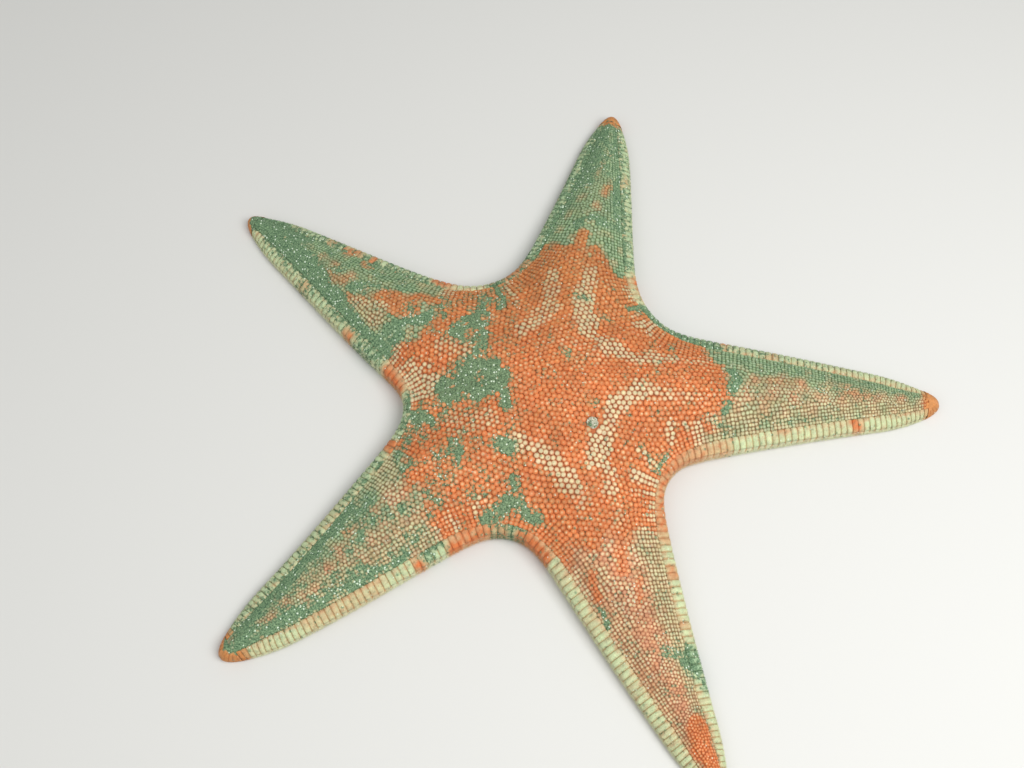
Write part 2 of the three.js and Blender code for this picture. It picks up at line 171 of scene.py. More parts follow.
class Margin:
    """One side of one arm: side is 1 for its left and -1 for its right."""

    def __init__(self, index, side):
        self.arm = ARMS[index]
        self.index = index
        self.side = side
        angle = half_angle(index, side)
        radius = PIT_RADII[index if side > 0 else index - 1]
        small = 0.25
        self.seam_x = radius * math.cos(angle)
        self.end_x = self.arm.length - TERMINAL_LENGTH
        slope = self.unflared(self.seam_x + small) - self.unflared(self.seam_x - small)
        slope /= 2 * small
        self.flare = radius * math.sin(angle) - self.unflared(self.seam_x)
        self.flare_length = self.flare / (1 / math.tan(angle) + slope)

    def unflared(self, x):
        return tapered_half_width(self.arm, x) + self.side * axis_offset(self.arm, x)

    def edge(self, x):
        return self.unflared(x) + self.flare * np.exp(-(x - self.seam_x) / self.flare_length)

    def at(self, x):
        """The margin at each x: outermost point, outward normal and the plates' measures."""
        small = 0.05
        slope = self.edge(np.minimum(x + small, self.arm.length)) - self.edge(x - small)
        slope /= 2 * small
        squared = smoothstep(x, self.end_x - 2 * PLATE_LENGTH, self.end_x)
        across = np.full_like(x, self.side)
        normal = unit(np.stack([-slope * (1 - squared), across], axis=-1))
        share = (self.arm.length - x) / (self.arm.length - self.seam_x)
        longest = np.minimum(PLATE_LENGTH, PLATE_SHARE * self.edge(x))
        return SimpleNamespace(
            x=x,
            point=np.stack([x, self.side * self.edge(x)], axis=-1),
            normal=normal,
            length=longest * (1 - PIT_SHORTENING * smoothstep(share, 0.8, 1)),
            shoulder=SHOULDER_AT_TIP + SHOULDER_RISE * share,
            share=share,
        )

    def stations(self, steps):
        even = steps / STEPS
        gathered = even - CROWDING * np.sin(2 * math.pi * even) / (2 * math.pi)
        return self.at(lerp(self.seam_x, self.end_x, gathered))


def inset(stations, distance, height):
    """Points of the cross-section, at a distance in from the outline and a height."""
    plan = stations.point - stations.normal * np.expand_dims(distance, -1)
    return np.concatenate([plan, np.expand_dims(np.broadcast_to(height, plan.shape[:-1]), -1)], axis=-1)


def foot_points(stations):
    return inset(stations, stations.length + GAP, stations.shoulder)


def turn(points, degrees):
    """Turns points from an arm's frame into the star's."""
    cos, sin = math.cos(math.radians(degrees)), math.sin(math.radians(degrees))
    x, y = points[..., 0], points[..., 1]
    turned = points.copy()
    turned[..., 0] = cos * x - sin * y
    turned[..., 1] = sin * x + cos * y
    return turned


MARGINS = {(index, side): Margin(index, side) for index in range(5) for side in (1, -1)}


def dome_rows(index, steps, across):
    """Rows of points over an arm, from its right shoulder (across = -1) to its left one."""
    arm = ARMS[index]
    left = MARGINS[index, 1].stations(steps)
    right = MARGINS[index, -1].stations(steps)
    left_foot, right_foot = foot_points(left), foot_points(right)
    axis_x = (left_foot[:, 0] + right_foot[:, 0]) / 2
    ridge = RIDGE_AT_TIP + RIDGE_RISE * (left.share + right.share) / 2
    crest = np.stack([axis_x, axis_offset(arm, axis_x), ridge], axis=-1)[:, None]
    foot = np.where(across[None, :, None] < 0, right_foot[:, None], left_foot[:, None])
    rows = crest + (foot - crest) * np.abs(across)[None, :, None]
    rows[..., 2] = lerp(foot[..., 2], crest[..., 2], np.cos(math.pi / 2 * across)[None])
    return rows


def star_surface(across):
    """The star's upper side: the centre, the rings of the disc, then the rows of each arm."""
    rim, slopes, arms = [], [], []
    beside = np.arange(ROOT + 1, dtype=float)
    slope_beside = lerp(PIT_SLOPE, CORNER_SLOPE, beside / ROOT)
    for index, arm in enumerate(ARMS):
        feet = {side: foot_points(MARGINS[index, side].stations(beside)) for side in (1, -1)}
        root_row = dome_rows(index, np.array([float(ROOT)]), across)[0]
        entries = [feet[-1][1:], root_row[1:-1], feet[1][::-1]]
        rim.append(turn(np.concatenate(entries), arm.azimuth))
        over = lerp(AXIS_SLOPE, CORNER_SLOPE, across[1:-1] ** 2)
        slopes += [slope_beside[1:], over, slope_beside[::-1]]
        steps = np.arange(ROOT + 1, STEPS + 1, dtype=float)
        arms.append(turn(dome_rows(index, steps, across), arm.azimuth).reshape(-1, 3))
    rim = np.concatenate(rim)
    slopes = np.concatenate(slopes)
    reach = np.hypot(rim[:, 0], rim[:, 1])
    points = [np.array([[0, 0, CENTRE_HEIGHT]])]
    for ring in range(1, RINGS + 1):
        share = ring / RINGS
        centre_weight = 2 * share ** 3 - 3 * share ** 2 + 1
        slope_weight = share ** 3 - share ** 2
        height = CENTRE_HEIGHT * centre_weight + rim[:, 2] * (1 - centre_weight)
        height -= slopes * reach * slope_weight
        points.append(np.stack([rim[:, 0] * share, rim[:, 1] * share, height], axis=-1))
    return np.concatenate(points + arms)


RIM_PER_ARM = 2 * ROOT + COLUMNS
RIM_SIZE = 5 * RIM_PER_ARM


def surface_faces():
    """The triangles and quads over star_surface, and the loop of its border."""
    fan, disc_quads = ring_faces(RINGS, RIM_SIZE)
    quads, border = [disc_quads], []
    rim_start = 1 + (RINGS - 1) * RIM_SIZE
    arms_start = 1 + RINGS * RIM_SIZE
    width = COLUMNS + 1
    for index in range(5):
        first = rim_start + index * RIM_PER_ARM
        root_row = first + ROOT - 1 + np.arange(width)
        start = arms_start + index * (STEPS - ROOT) * width
        rows = start + np.arange((STEPS - ROOT) * width).reshape(-1, width)
        near = np.concatenate([root_row[None], rows[:-1]])
        arm_quads = np.stack([near[:, :-1], rows[:, :-1], rows[:, 1:], near[:, 1:]], axis=-1)
        quads.append(arm_quads.reshape(-1, 4))
        border += [
            first + np.arange(ROOT),
            rows[:, 0],
            rows[-1, 1:-1],
            rows[::-1, -1],
            first + ROOT - 1 + COLUMNS + np.arange(ROOT + 1),
        ]
    return fan, np.concatenate(quads), np.concatenate(border)


def local(xy):
    """For each point of the star's plan: its arm, and its place in that arm's frame."""
    angle = np.degrees(np.arctan2(xy[:, 1], xy[:, 0]))
    arm_of = np.zeros(len(xy), dtype=int)
    place = np.zeros_like(xy)
    for index, arm in enumerate(ARMS):
        off = (angle - arm.azimuth + 180) % 360 - 180
        left, right = (math.degrees(half_angle(index, side)) for side in (1, -1))
        inside = (off < left) & (off >= -right)
        arm_of[inside] = index
        place[inside] = turn(xy[inside], -arm.azimuth)
    return arm_of, place


def groove_half_width(arm, x):
    return GROOVE_HALF_WIDTH + GROOVE_WIDENING * (arm.length - x)


def groove_depth(arm, x):
    return GROOVE_DEPTH + GROOVE_DEEPENING * (arm.length - x)


def groove_height(xy, spread=0.0):
    """Height of the ambulacral grooves' roof above the oral side, zero outside them."""
    arm_of, place = local(xy)
    height = np.zeros(len(xy))
    for index, arm in enumerate(ARMS):
        here = arm_of == index
        x, y = place[here].T
        off = np.abs(y - axis_offset(arm, x)) / (groove_half_width(arm, x) + spread)
        height[here] = groove_depth(arm, x) * np.interp(off, [0, 0.8, 1], [1, 0.6, 0])
    return height


def margin_run(margin, samples=900):
    """Closely spaced stations along a margin, in the star's frame."""
    stations = margin.at(np.linspace(margin.seam_x, margin.end_x, samples))
    feet = foot_points(stations)
    return stations, turn(feet, margin.arm.azimuth), turn(stations.normal, margin.arm.azimuth)


END_WALL_POINTS = 12  # across the end of each arm, where the margins stop at the tip plate

runs = {key: margin_run(margin) for key, margin in MARGINS.items()}
all_feet = np.concatenate([feet[:, :2] for _, feet, _ in runs.values()])
all_normals = np.concatenate([normal for _, _, normal in runs.values()])
end_walls = []
for index, arm in enumerate(ARMS):
    ends = np.stack([runs[index, side][1][-1, :2] for side in (1, -1)])
    end_walls.append(lerp(ends[0], ends[1], np.linspace(0, 1, END_WALL_POINTS)[:, None]))
    direction = np.array([[math.cos(math.radians(arm.azimuth)), math.sin(math.radians(arm.azimuth))]])
    all_normals = np.concatenate([all_normals, np.repeat(direction, END_WALL_POINTS, axis=0)])
all_feet = np.concatenate([all_feet] + end_walls)
foot_tree = nearest_tree(all_feet)


def from_margin(xy):
    """Distance from the inner edge of the marginal plates, and the outward normal there."""
    found = [foot_tree.find((x, y, 0))[1:] for x, y in xy]
    rows = np.array([row for row, _ in found])
    return np.array([distance for _, distance in found]), all_normals[rows]


# ---- Meshes --------------------------------------------------------------------------------

# The unwrap of the coat is the plan of its arm: how far it starts behind the centre, its length and width.
UNWRAP_START, UNWRAP_LENGTH, UNWRAP_WIDTH = 4, 164, 104
PATCH = 0.0015  # half the width of a tuft's patch on the unwrap


def add_piece(name, points, polygons, material, replaced=(), colour=None, silt=None, uv=None):
    """A mesh piece from points in mm and arrays of polygons with equally many corners each."""
    mesh = bpy.data.meshes.new(name)
    mesh.vertices.add(len(points))
    mesh.vertices.foreach_set("co", (points * MM + CENTRE).astype(np.float32).ravel())
    corners = np.concatenate([polygon.ravel() for polygon in polygons])
    sizes = np.concatenate([np.full(len(polygon), polygon.shape[1]) for polygon in polygons])
    mesh.loops.add(len(corners))
    mesh.loops.foreach_set("vertex_index", corners.astype(np.int32))
    mesh.polygons.add(len(sizes))
    starts = np.concatenate([[0], np.cumsum(sizes)[:-1]])
    mesh.polygons.foreach_set("loop_start", starts.astype(np.int32))
    mesh.update(calc_edges=True)
    mesh.shade_smooth()
    if colour is not None:
        rgba = np.concatenate([colour, np.ones((len(points), 1))], axis=1)
        attribute = mesh.attributes.new("tint", "FLOAT_COLOR", "POINT")
        attribute.data.foreach_set("color", rgba.astype(np.float32).ravel())
    if silt is not None:
        attribute = mesh.attributes.new("silt", "FLOAT", "POINT")
        attribute.data.foreach_set("value", silt.astype(np.float32))
    if uv is not None:
        layer = mesh.uv_layers.new(name="OFBake")
        layer.data.foreach_set("uv", uv[corners].astype(np.float32).ravel())
    mesh.materials.append(material)
    piece = bpy.data.objects.new(name, mesh)
    bpy.context.scene.collection.objects.link(piece)
    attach(piece, "root")
    if replaced:
        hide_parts(*replaced)


def lathe_template(profile, azimuths, lobes=0):
    """A crown on a stalk, turned round z. profile has rows of radius, rise in radii, rise in mm
    and lobing. Its points have x, y, both rises, the run down the profile, the azimuth and the radius."""
    turns = np.arange(azimuths) * 2 * math.pi / azimuths
    wave = np.cos(turns * lobes) if lobes else np.zeros(azimuths)
    lengths = np.cumsum([0] + [math.hypot(b[0] - a[0], b[1] - a[1] + b[2] - a[2])
                               for a, b in zip(profile, profile[1:])])
    points = [[0, 0, profile[0][1], profile[0][2], 0, 0, 0]]
    for (radius, rise, drop, lobing), length in zip(profile[1:], lengths[1:] / lengths[-1]):
        for angle, bump in zip(turns, wave):
            r = radius * (1 + lobing * bump)
            points.append([
                r * math.cos(angle), r * math.sin(angle), rise + 0.5 * abs(lobing) * bump, drop,
                length, angle, radius,
            ])
    return SimpleNamespace(points=np.array(points), polygons=ring_faces(len(profile) - 1, azimuths))


def repeated(polygons, copies, size):
    """The polygons of each copy of a shape that has that many points."""
    offsets = (np.arange(copies) * size)[:, None, None]
    return [(part[None] + offsets).reshape(-1, part.shape[1]) for part in polygons]


def plant(template, places, normals, radii, lowest=None):
    """Copies of a template at places, along normals, each spun at random, and none of it below
    the lowest height. Returns the points, the polygons, the index of each point's copy, and the
    run down the template, azimuth and radius of each point."""
    count = len(places)
    helper = np.where(np.abs(normals[:, :1]) < 0.9, [[1.0, 0, 0]], [[0, 1.0, 0]])
    tangent = unit(np.cross(normals, helper))
    bitangent = np.cross(normals, tangent)
    angle = random.uniform(0, 2 * math.pi, (count, 1))
    first = tangent * np.cos(angle) + bitangent * np.sin(angle)
    second = np.cross(normals, first)
    x, y, rise, drop = template.points[:, :4].T
    scaled_x = x[None] * radii[:, None]
    scaled_y = y[None] * radii[:, None]
    scaled_z = rise[None] * radii[:, None] + drop[None]
    points = (
        places[:, None]
        + first[:, None] * scaled_x[..., None]
        + second[:, None] * scaled_y[..., None]
        + normals[:, None] * scaled_z[..., None]
    )
    points = points.reshape(-1, 3)
    if lowest is not None:
        points[:, 2] = np.maximum(points[:, 2], lowest)
    size = len(template.points)
    down, around, out = (np.tile(template.points[:, column], count) for column in (4, 5, 6))
    return SimpleNamespace(points=points, polygons=repeated(template.polygons, count, size),
                           copy_of=np.repeat(np.arange(count), size), down=down, around=around, out=out)


def patch_uv(planted, x, y):
    """Each copy a small patch at its root's place, x and y in its arm's frame, on the unwrap."""
    roots = np.stack([(x + UNWRAP_START) / UNWRAP_LENGTH, 0.5 + y / UNWRAP_WIDTH], axis=-1)
    radius = PATCH * planted.down
    patch = np.stack([radius * np.cos(planted.around), radius * np.sin(planted.around)], axis=-1)
    return roots[planted.copy_of] + patch


def join(parts):
    """Joins meshes given as (points, polygons) into one."""
    points, by_size, start = [], {}, 0
    for part_points, part_polygons in parts:
        points.append(part_points)
        for polygon in part_polygons:
            by_size.setdefault(polygon.shape[1], []).append(polygon + start)
        start += len(part_points)
    return np.concatenate(points), [np.concatenate(group) for group in by_size.values()]


def add_coat(name, parts, material):
    """A piece of the body wall's coat, from parts given as planted copies, colour, silt and map."""
    points, polygons = join([(planted.points, planted.polygons) for planted, _, _, _ in parts])
    colour, silt, uv = (np.concatenate([part[column] for part in parts]) for column in (1, 2, 3))
    add_piece(name, points, polygons, material, colour=colour, silt=silt, uv=uv)


def loft_faces(rings, size):
    """Quads over rings of points, closed round each ring, and the two end caps."""
    corner = np.arange(size)
    after = (corner + 1) % size
    near = (np.arange(rings - 1) * size)[:, None]
    far = near + size
    quads = np.stack([near + corner, near + after, far + after, far + corner], axis=-1)
    first = corner[::-1][None]
    last = ((rings - 1) * size + corner)[None]
    return quads.reshape(-1, 4), np.concatenate([first, last])


# ---- Markings ------------------------------------------------------------------------------

def srgb(red, green, blue):
    """A colour from its 0 to 255 values, as linear light."""
    value = np.array([red, green, blue]) / 255
    return np.where(value < 0.04045, value / 12.92, ((value + 0.055) / 1.055) ** 2.4)


LIGHT_ORANGE = srgb(230, 160, 106)
ORANGE = srgb(220, 124, 68)
DEEP_ORANGE = srgb(204, 106, 58)
BURNT_ORANGE = srgb(192, 106, 60)
PINKISH = srgb(210, 140, 102)
OLIVE = srgb(154, 149, 104)
BROWN_PINK = srgb(184, 124, 88)
CREAM = srgb(230, 214, 168)
PLATE_CREAM = srgb(211, 222, 174)
PLATE_JOINT = srgb(200, 168, 120)
DUST = srgb(92, 144, 102)
PALE_DUST = srgb(142, 184, 144)
# Painted shade: the brown that colours turn towards on the upper side of the plan, where the light falls
# off.
FALLOFF_SHADE = srgb(136, 122, 66)
PALE = srgb(226, 228, 190)
TIP_ORANGE = srgb(208, 140, 80)
ORAL_ORANGE = srgb(206, 128, 84)
ORAL_PALE = srgb(214, 178, 128)
TUFT_ROOT = srgb(214, 150, 100)
SPINE_ROOT = srgb(220, 158, 108)
JAW_PALE = srgb(224, 190, 142)
JAW_DEEP = srgb(190, 120, 80)
FOOT_PALE = srgb(236, 196, 132)
FOOT_DEEP = srgb(226, 168, 112)
EYESPOT = srgb(120, 24, 20)
STONE_PALE = srgb(222, 224, 204)
STONE_SHADE = srgb(150, 140, 108)
FLOOR = srgb(214, 214, 210)
SILT_DARK = srgb(60, 96, 68)
SILT_LIGHT = srgb(130, 160, 120)
SILT_GRAIN = srgb(216, 232, 210)


def ripple(xy, wavelength, seed):
    """A smooth random field between about -1 and 1."""
    local_random = np.random.default_rng(seed)
    total = np.zeros(len(xy))
    waves = 7
    for _ in range(waves):
        angle = local_random.uniform(0, 2 * math.pi)
        pitch = wavelength * local_random.uniform(0.7, 1.5)
        direction = np.array([math.cos(angle), math.sin(angle)]) * 2 * math.pi / pitch
        total += np.sin(xy @ direction + local_random.uniform(0, 2 * math.pi))
    return total / math.sqrt(waves)


# Soft streaks: from one point to another of the star's plan, half width and strength.
CREAM_STREAKS = [
    (-8, 24, 1, 34, 4.3, 0.72),
    (1, 34, 3, 50, 3.3, 0.72),
    (15, 24, 15, 38, 4.1, 1.08),
    (15, 41, 17, 50, 3.3, 0.78),
    (20, 19, 34, 12, 3.5, 0.96),
    (34, 13, 48, 13.5, 2.9, 0.84),
    (51, 13, 60, 13, 1.9, 0.48),
    (10, 17, 20, 13, 4.7, 0.36),
    (25, -8, 34, -1, 3.7, 0.96),
    (34, -1, 44, -3, 2.9, 0.72),
    (44, -2, 58, -4, 3.1, 0.48),
    (24, -9, 22, -18, 3.3, 0.84),
    (19, -19, 18, -29, 4.3, 1.08),
    (21, -30, 22, -40, 3.3, 0.72),
    (25, -45, 24, -52, 3.1, 0.36),
    (-10, -22, 0, -28, 3.7, 0.9),
    (0, -28, 8, -38, 3.7, 0.9),
    (8, -38, 12, -44, 3.3, 0.48),
    (-34, -13, -22, -14, 4.7, 0.54),
    (-35.5, -47, -33, -53, 0.9, 1),
    (-33, -53, -28, -54.5, 1, 0.9),
    (-40, -53, -38.5, -60, 1.6, 1),
    (-24, -41, -26, -45, 1.1, 0.9),
    (-21, -41, -22, -44, 0.8, 0.9),
    (-38, 18, -30, 15, 4.1, 0.6),
    (-51, 2.5, -42, 3, 5, 1.1),
    (-52, 5, -51.5, -9, 1.6, 1.08),
    (-60, 12, -56, 20, 1.3, 1.1),
    (-58, 9, -51, 13, 1.5, 1.1),
    (-55, 7, -45, 11.5, 1.5, 1.1),
    (34, -24, 39, -27, 1.5, 0.96),
    (45, -13, 46, -18, 1.6, 1.08),
    (51.5, -12, 52.5, -17, 1.2, 0.96),
    (56, -13, 56.5, -18, 1.8, 1.08),
    (61, -10, 63, -15, 1.9, 0.84),
    (31, -32.5, 41, -35, 1.6, 1.1),
    (32, -38.5, 40, -38.5, 1.2, 1.08),
    (36, -43, 41, -43, 1.3, 1.08),
    (35, -48, 41, -47, 1.6, 1.08),
    (34, -53.5, 41, -53.5, 1.4, 1.08),
    (35, -57, 41, -57, 1.3, 1.08),
    (31, 46, 38, 46, 1.4, 1),
    (33, 43, 38, 43, 1.3, 1.08),
    (33, 33, 37, 35, 1, 0.96),
    (34, 28, 38, 31, 1.7, 1.08),
    (40, 27, 41, 31, 1.3, 1.08),
    (45, 26, 46, 30, 1.1, 0.96),
    (-15, 50, -12, 38, 1.1, 0.96),
    (-61, -25, -56, -40, 4.7, 1.1),
    (-53, 50, -40, 46, 3.7, 0.84),
    (-75, 40, -63, 35, 2.4, 1.08),
    (-72, 37, -62, 28, 3.2, 1.08),
]

ORANGE_STREAKS = [
    (13, 64, 15, 69, 2.6, 1),
    (0, 62, 0, 65, 2.2, 1),
    (14, -70, 17, -76, 1.8, 0.9),
    (31, -70, 31, -79, 1.2, 0.8),
    (24, -62, 25, -67, 2.4, 0.8),
    (48, -119, 53, -133, 3.6, 1.2),
    (25, 94, 28, 95, 1.4, 0.8),
    (-55, 15, -43, 17, 6, 1),
    (-62, 40, -54, 36, 5, 1.2),
    (-50, 41, -44, 40, 3, 1),
    (-78, 42, -69, 40, 1.8, 0.8),
    (-88, 54, -80, 50, 2, 0.6),
    (-38, -49, -34, -57, 2.6, 1),
    (-30, -47, -26, -50, 2.2, 1),
    (66, -1, 70, -1, 1.8, 0.9),
    (112, 3, 120, 2, 2.4, 0.4),
    (84, 6, 92, 5, 2, 0.4),
    (-72, -52, -71, -52, 1.6, 0.7),
    (-80, 66, -76, 65, 1.6, 0.8),
    (-71, 60, -70, 58, 1.2, 0.8),
]

SILT_STREAKS = [
    (-36, 0, -19, 2, 6, 1.15),
    (-31, 8, -20, 8, 3.6, 1.1),
    (-17, -2, -14, -9, 2.6, 1.1),
    (-26, 12, -25, 22, 4.2, 0.85),
    (-33, 24, -25, 31, 4.6, 1.15),
    (-25, 32, -23, 40, 2.6, 0.9),
    (-18, 47, -17, 37, 1.8, 1.1),
    (-62, 27, -44, 31, 2.8, 1.1),
    (-53, 32, -53, 37, 1.6, 1),
    (-44, 35, -38, 38, 2, 0.7),
    (-50, -8, -43, -11, 3, 1.1),
    (-50, -13, -46, -17, 1.8, 0.7),
    (-18, -22, -13, -25, 2.8, 1.1),
    (-34, -21, -32, -31, 1.8, 1),
    (-36, -27, -34, -35, 1.4, 0.7),
    (-12, -34, -13, -42, 2, 1.1),
    (-14, -42, -22, -49, 3.2, 1.15),
    (-12, -42, -5, -49, 2.6, 1.1),
    (21, 31, 26, 30, 0.9, 0.9),
    (48, 22, 48, 15, 0.7, 0.9),
    (42, 12, 41, 7, 0.8, 0.7),
    (7, 13, 9, 9, 1.4, 0.9),
    (17, -8, 17, -8, 1.2, 1),
    (12, 39, 15, 38, 1.1, 0.9),
    (32, 38, 38, 37, 1.5, 1.1),
    (34, -21, 40, -30, 0.9, 1),
    (45, -22, 40, -29, 0.9, 1),
    (69, 1, 70, 8, 2.4, 1.15),
    (68, -5, 66, -8, 1.4, 1),
    (61, -10, 67, -15, 2.4, 0.6),
    (64, 17, 140, 7, 5, 0.36),
    (80, -11, 120, -7, 1.4, 0.45),
    (100, 4, 142, 3, 2.6, 0.4),
    (17, -80, 20, -86, 1.3, 1.1),
    (38, -96, 48, -94, 1.6, 0.8),
    (46, -97, 53, -103, 2.8, 1.1),
    (41, -49, 41.5, -60, 0.8, 1),
    (13, 75, 19, 78, 2.4, 1.1),
    (22, 77, 28, 76, 1.9, 1.05),
    (30, 76, 31, 99, 1.8, 1),
    (-3, 72, 2, 76, 2.6, 0.8),
    (3, 82, 14, 100, 4, 0.95),
    (16, 100, 27, 130, 5, 0.95),
    (27, 102, 31, 128, 3, 0.6),
    (32, 100, 33, 130, 2, 0.9),
    (-72, -44, -106, -86, 3.6, 1.05),
    (-64, -42, -76, -54, 2.4, 0.7),
    (-44, -60.5, -62, -67.5, 1.5, 1.1),
    (-62, -67.5, -84, -79.5, 1.9, 1.1),
    (-84, -79.5, -102, -89.5, 2.6, 1.1),
    (-92, -69, -98, -78, 2.4, 0.8),
    (-108, -92, -100, -88, 3, 1.1),
    (-62, 19, -75, 30, 3.4, 1.15),
    (-75, 30, -93, 53, 5.2, 1.2),
    (-93, 53, -114, 81, 6, 1.2),
    (-100, 74, -116, 84, 7, 1.2),
    (-78, 47, -68, 46, 2.4, 0.9),
    (-84, 69, -96, 76, 3, 0.5),
    (-57, 24, -62, 20, 3, 1.1),
]

# Upper marginal plates that are orange rather than cream.
ORANGE_MARGINS = [
    (66, -21, 58, -23, 3, 0.4),
    (56, -24, 46, -27, 4, 0.55),
    (46, -27, 42, -48, 4, 0.7),
    (42, -48, 42, -54, 3, 0.45),
    (-34, -58, -32, -57, 2, 1),
    (-30, -54, -17, -52, 3, 0.75),
    (-10, -55, -3, -62, 3.4, 1),
    (-61, 12, -56, 4, 2, 0.9),
    (-58, -19, -57, -22, 2.4, 1),
    (-43, 52, -40, 51, 2.4, 0.9),
    (-37, 50, -36, 50, 0.9, 0.8),
    (-32, 50, -31, 50, 0.8, 0.7),
    (-22, 49, -21, 49, 0.8, 0.7),
    (-13, 52, -6, 58, 3.4, 0.8),
    (38, 52, 41, 44, 3.4, 0.8),
    (115, -9, 117, -10, 1.6, 0.9),
    (87, -13, 89, -13, 1.4, 0.6),
    (69, 24, 70, 24, 1.3, 0.9),
    (86, 18, 88, 19, 1.2, 0.6),
    (-46, -64, -45, -64, 1.4, 1),
    (-84, -84, -60, -71, 2.4, 0.25),
    (-80, 67, -75, 65, 1.8, 0.9),
    (-70, 60, -68, 63, 1.4, 0.9),
    (-87, 72, -85, 71, 1.4, 0.6),
    (-78, 29, -76, 27, 1.4, 0.8),
    (-97, 51, -95, 50, 1.6, 0.6),
    (43, -65, 44, -68, 1.3, 0.7),
    (46, -84, 47, -85, 1.2, 0.5),
    (34, 99, 35, 102, 1.4, 0.4),
]

SILT_MARGINS = [
    (40, 36, 64, 22, 4.5, 1),
    (66, 24, 140, 12, 3, 0.5),
    (-10, 55, 24, 128, 5, 0.82),
    (34, 58, 36, 128, 4, 0.62),
    (-45, 50, -118, 84, 5, 0.66),
    (-118, 84, -108, 82, 6, 1),
    (-20, 50, -10, 54, 4, 0.8),
    (-52, -2, -53, -14, 4, 0.6),
    (-60, -22, -78, -42, 4, 0.55),
    (-78, -42, -112, -88, 4, 0.4),
    (-64, 17, -112, 72, 3.5, 0.5),
    (-74, 24, -66, 18, 3, 0.9),
    (-98, 52, -93, 48, 2, 1),
    (49, -95, 54, -104, 3.6, 1.1),
    (-18, -52, -11, -53, 3.4, 1.1),
    (-44, -61, -38, -58, 2.4, 0.7),
]


def streaks(xy, listed, softness=1.2):
    """The strongest of the listed streaks at each point."""
    strength = np.zeros(len(xy))
    for x0, y0, x1, y1, half, weight in listed:
        start = np.array([x0, y0], dtype=float)
        run = np.array([x1, y1]) - start
        share = np.clip((xy - start) @ run / max(run @ run, 1e-9), 0, 1)
        off = np.linalg.norm(xy - start - share[:, None] * run, axis=1)
        fade = smoothstep(off, half - softness, half + softness)
        strength = np.maximum(strength, weight * (1 - fade))
    return strength


# How far the orange field runs out along each arm: at its right side, axis and left side.
FIELD_REACH = {"b": (57, 67, 62), "a": (57, 65, 62), "e": (60, 54, 58), "d": (55, 61, 65), "c": (60, 61, 63)}
# How far in from the end of each arm its tip is orange.
TIP_REACH = {"b": 8, "a": 8, "e": 6.5, "d": 10, "c": 6}
# The arms on which silt hides that orange, except on their plates.
SILTED_TIPS = ("d", "e")
# How much fine dust, with painted shade that is heavier towards the upper left of the plan, dulls each arm
# beyond the orange field: at its right side, axis and left side.
ARM_DUST_AND_SHADE = {"b": (0.34, 0.42, 0.95), "a": (0.9, 0.75, 0.92), "e": (0.85, 0.55, 0.75),
            "d": (0.62, 0.42, 0.3), "c": (0.05, 0.05, 0.2)}
# How much paler the rows near the margins are than the axis: at the right and left side.
COMB_PALENESS = {"b": (0.55, 0.75), "a": (1, 0.9), "e": (1, 0.4), "d": (0.9, 0.3), "c": (0.25, 0.6)}


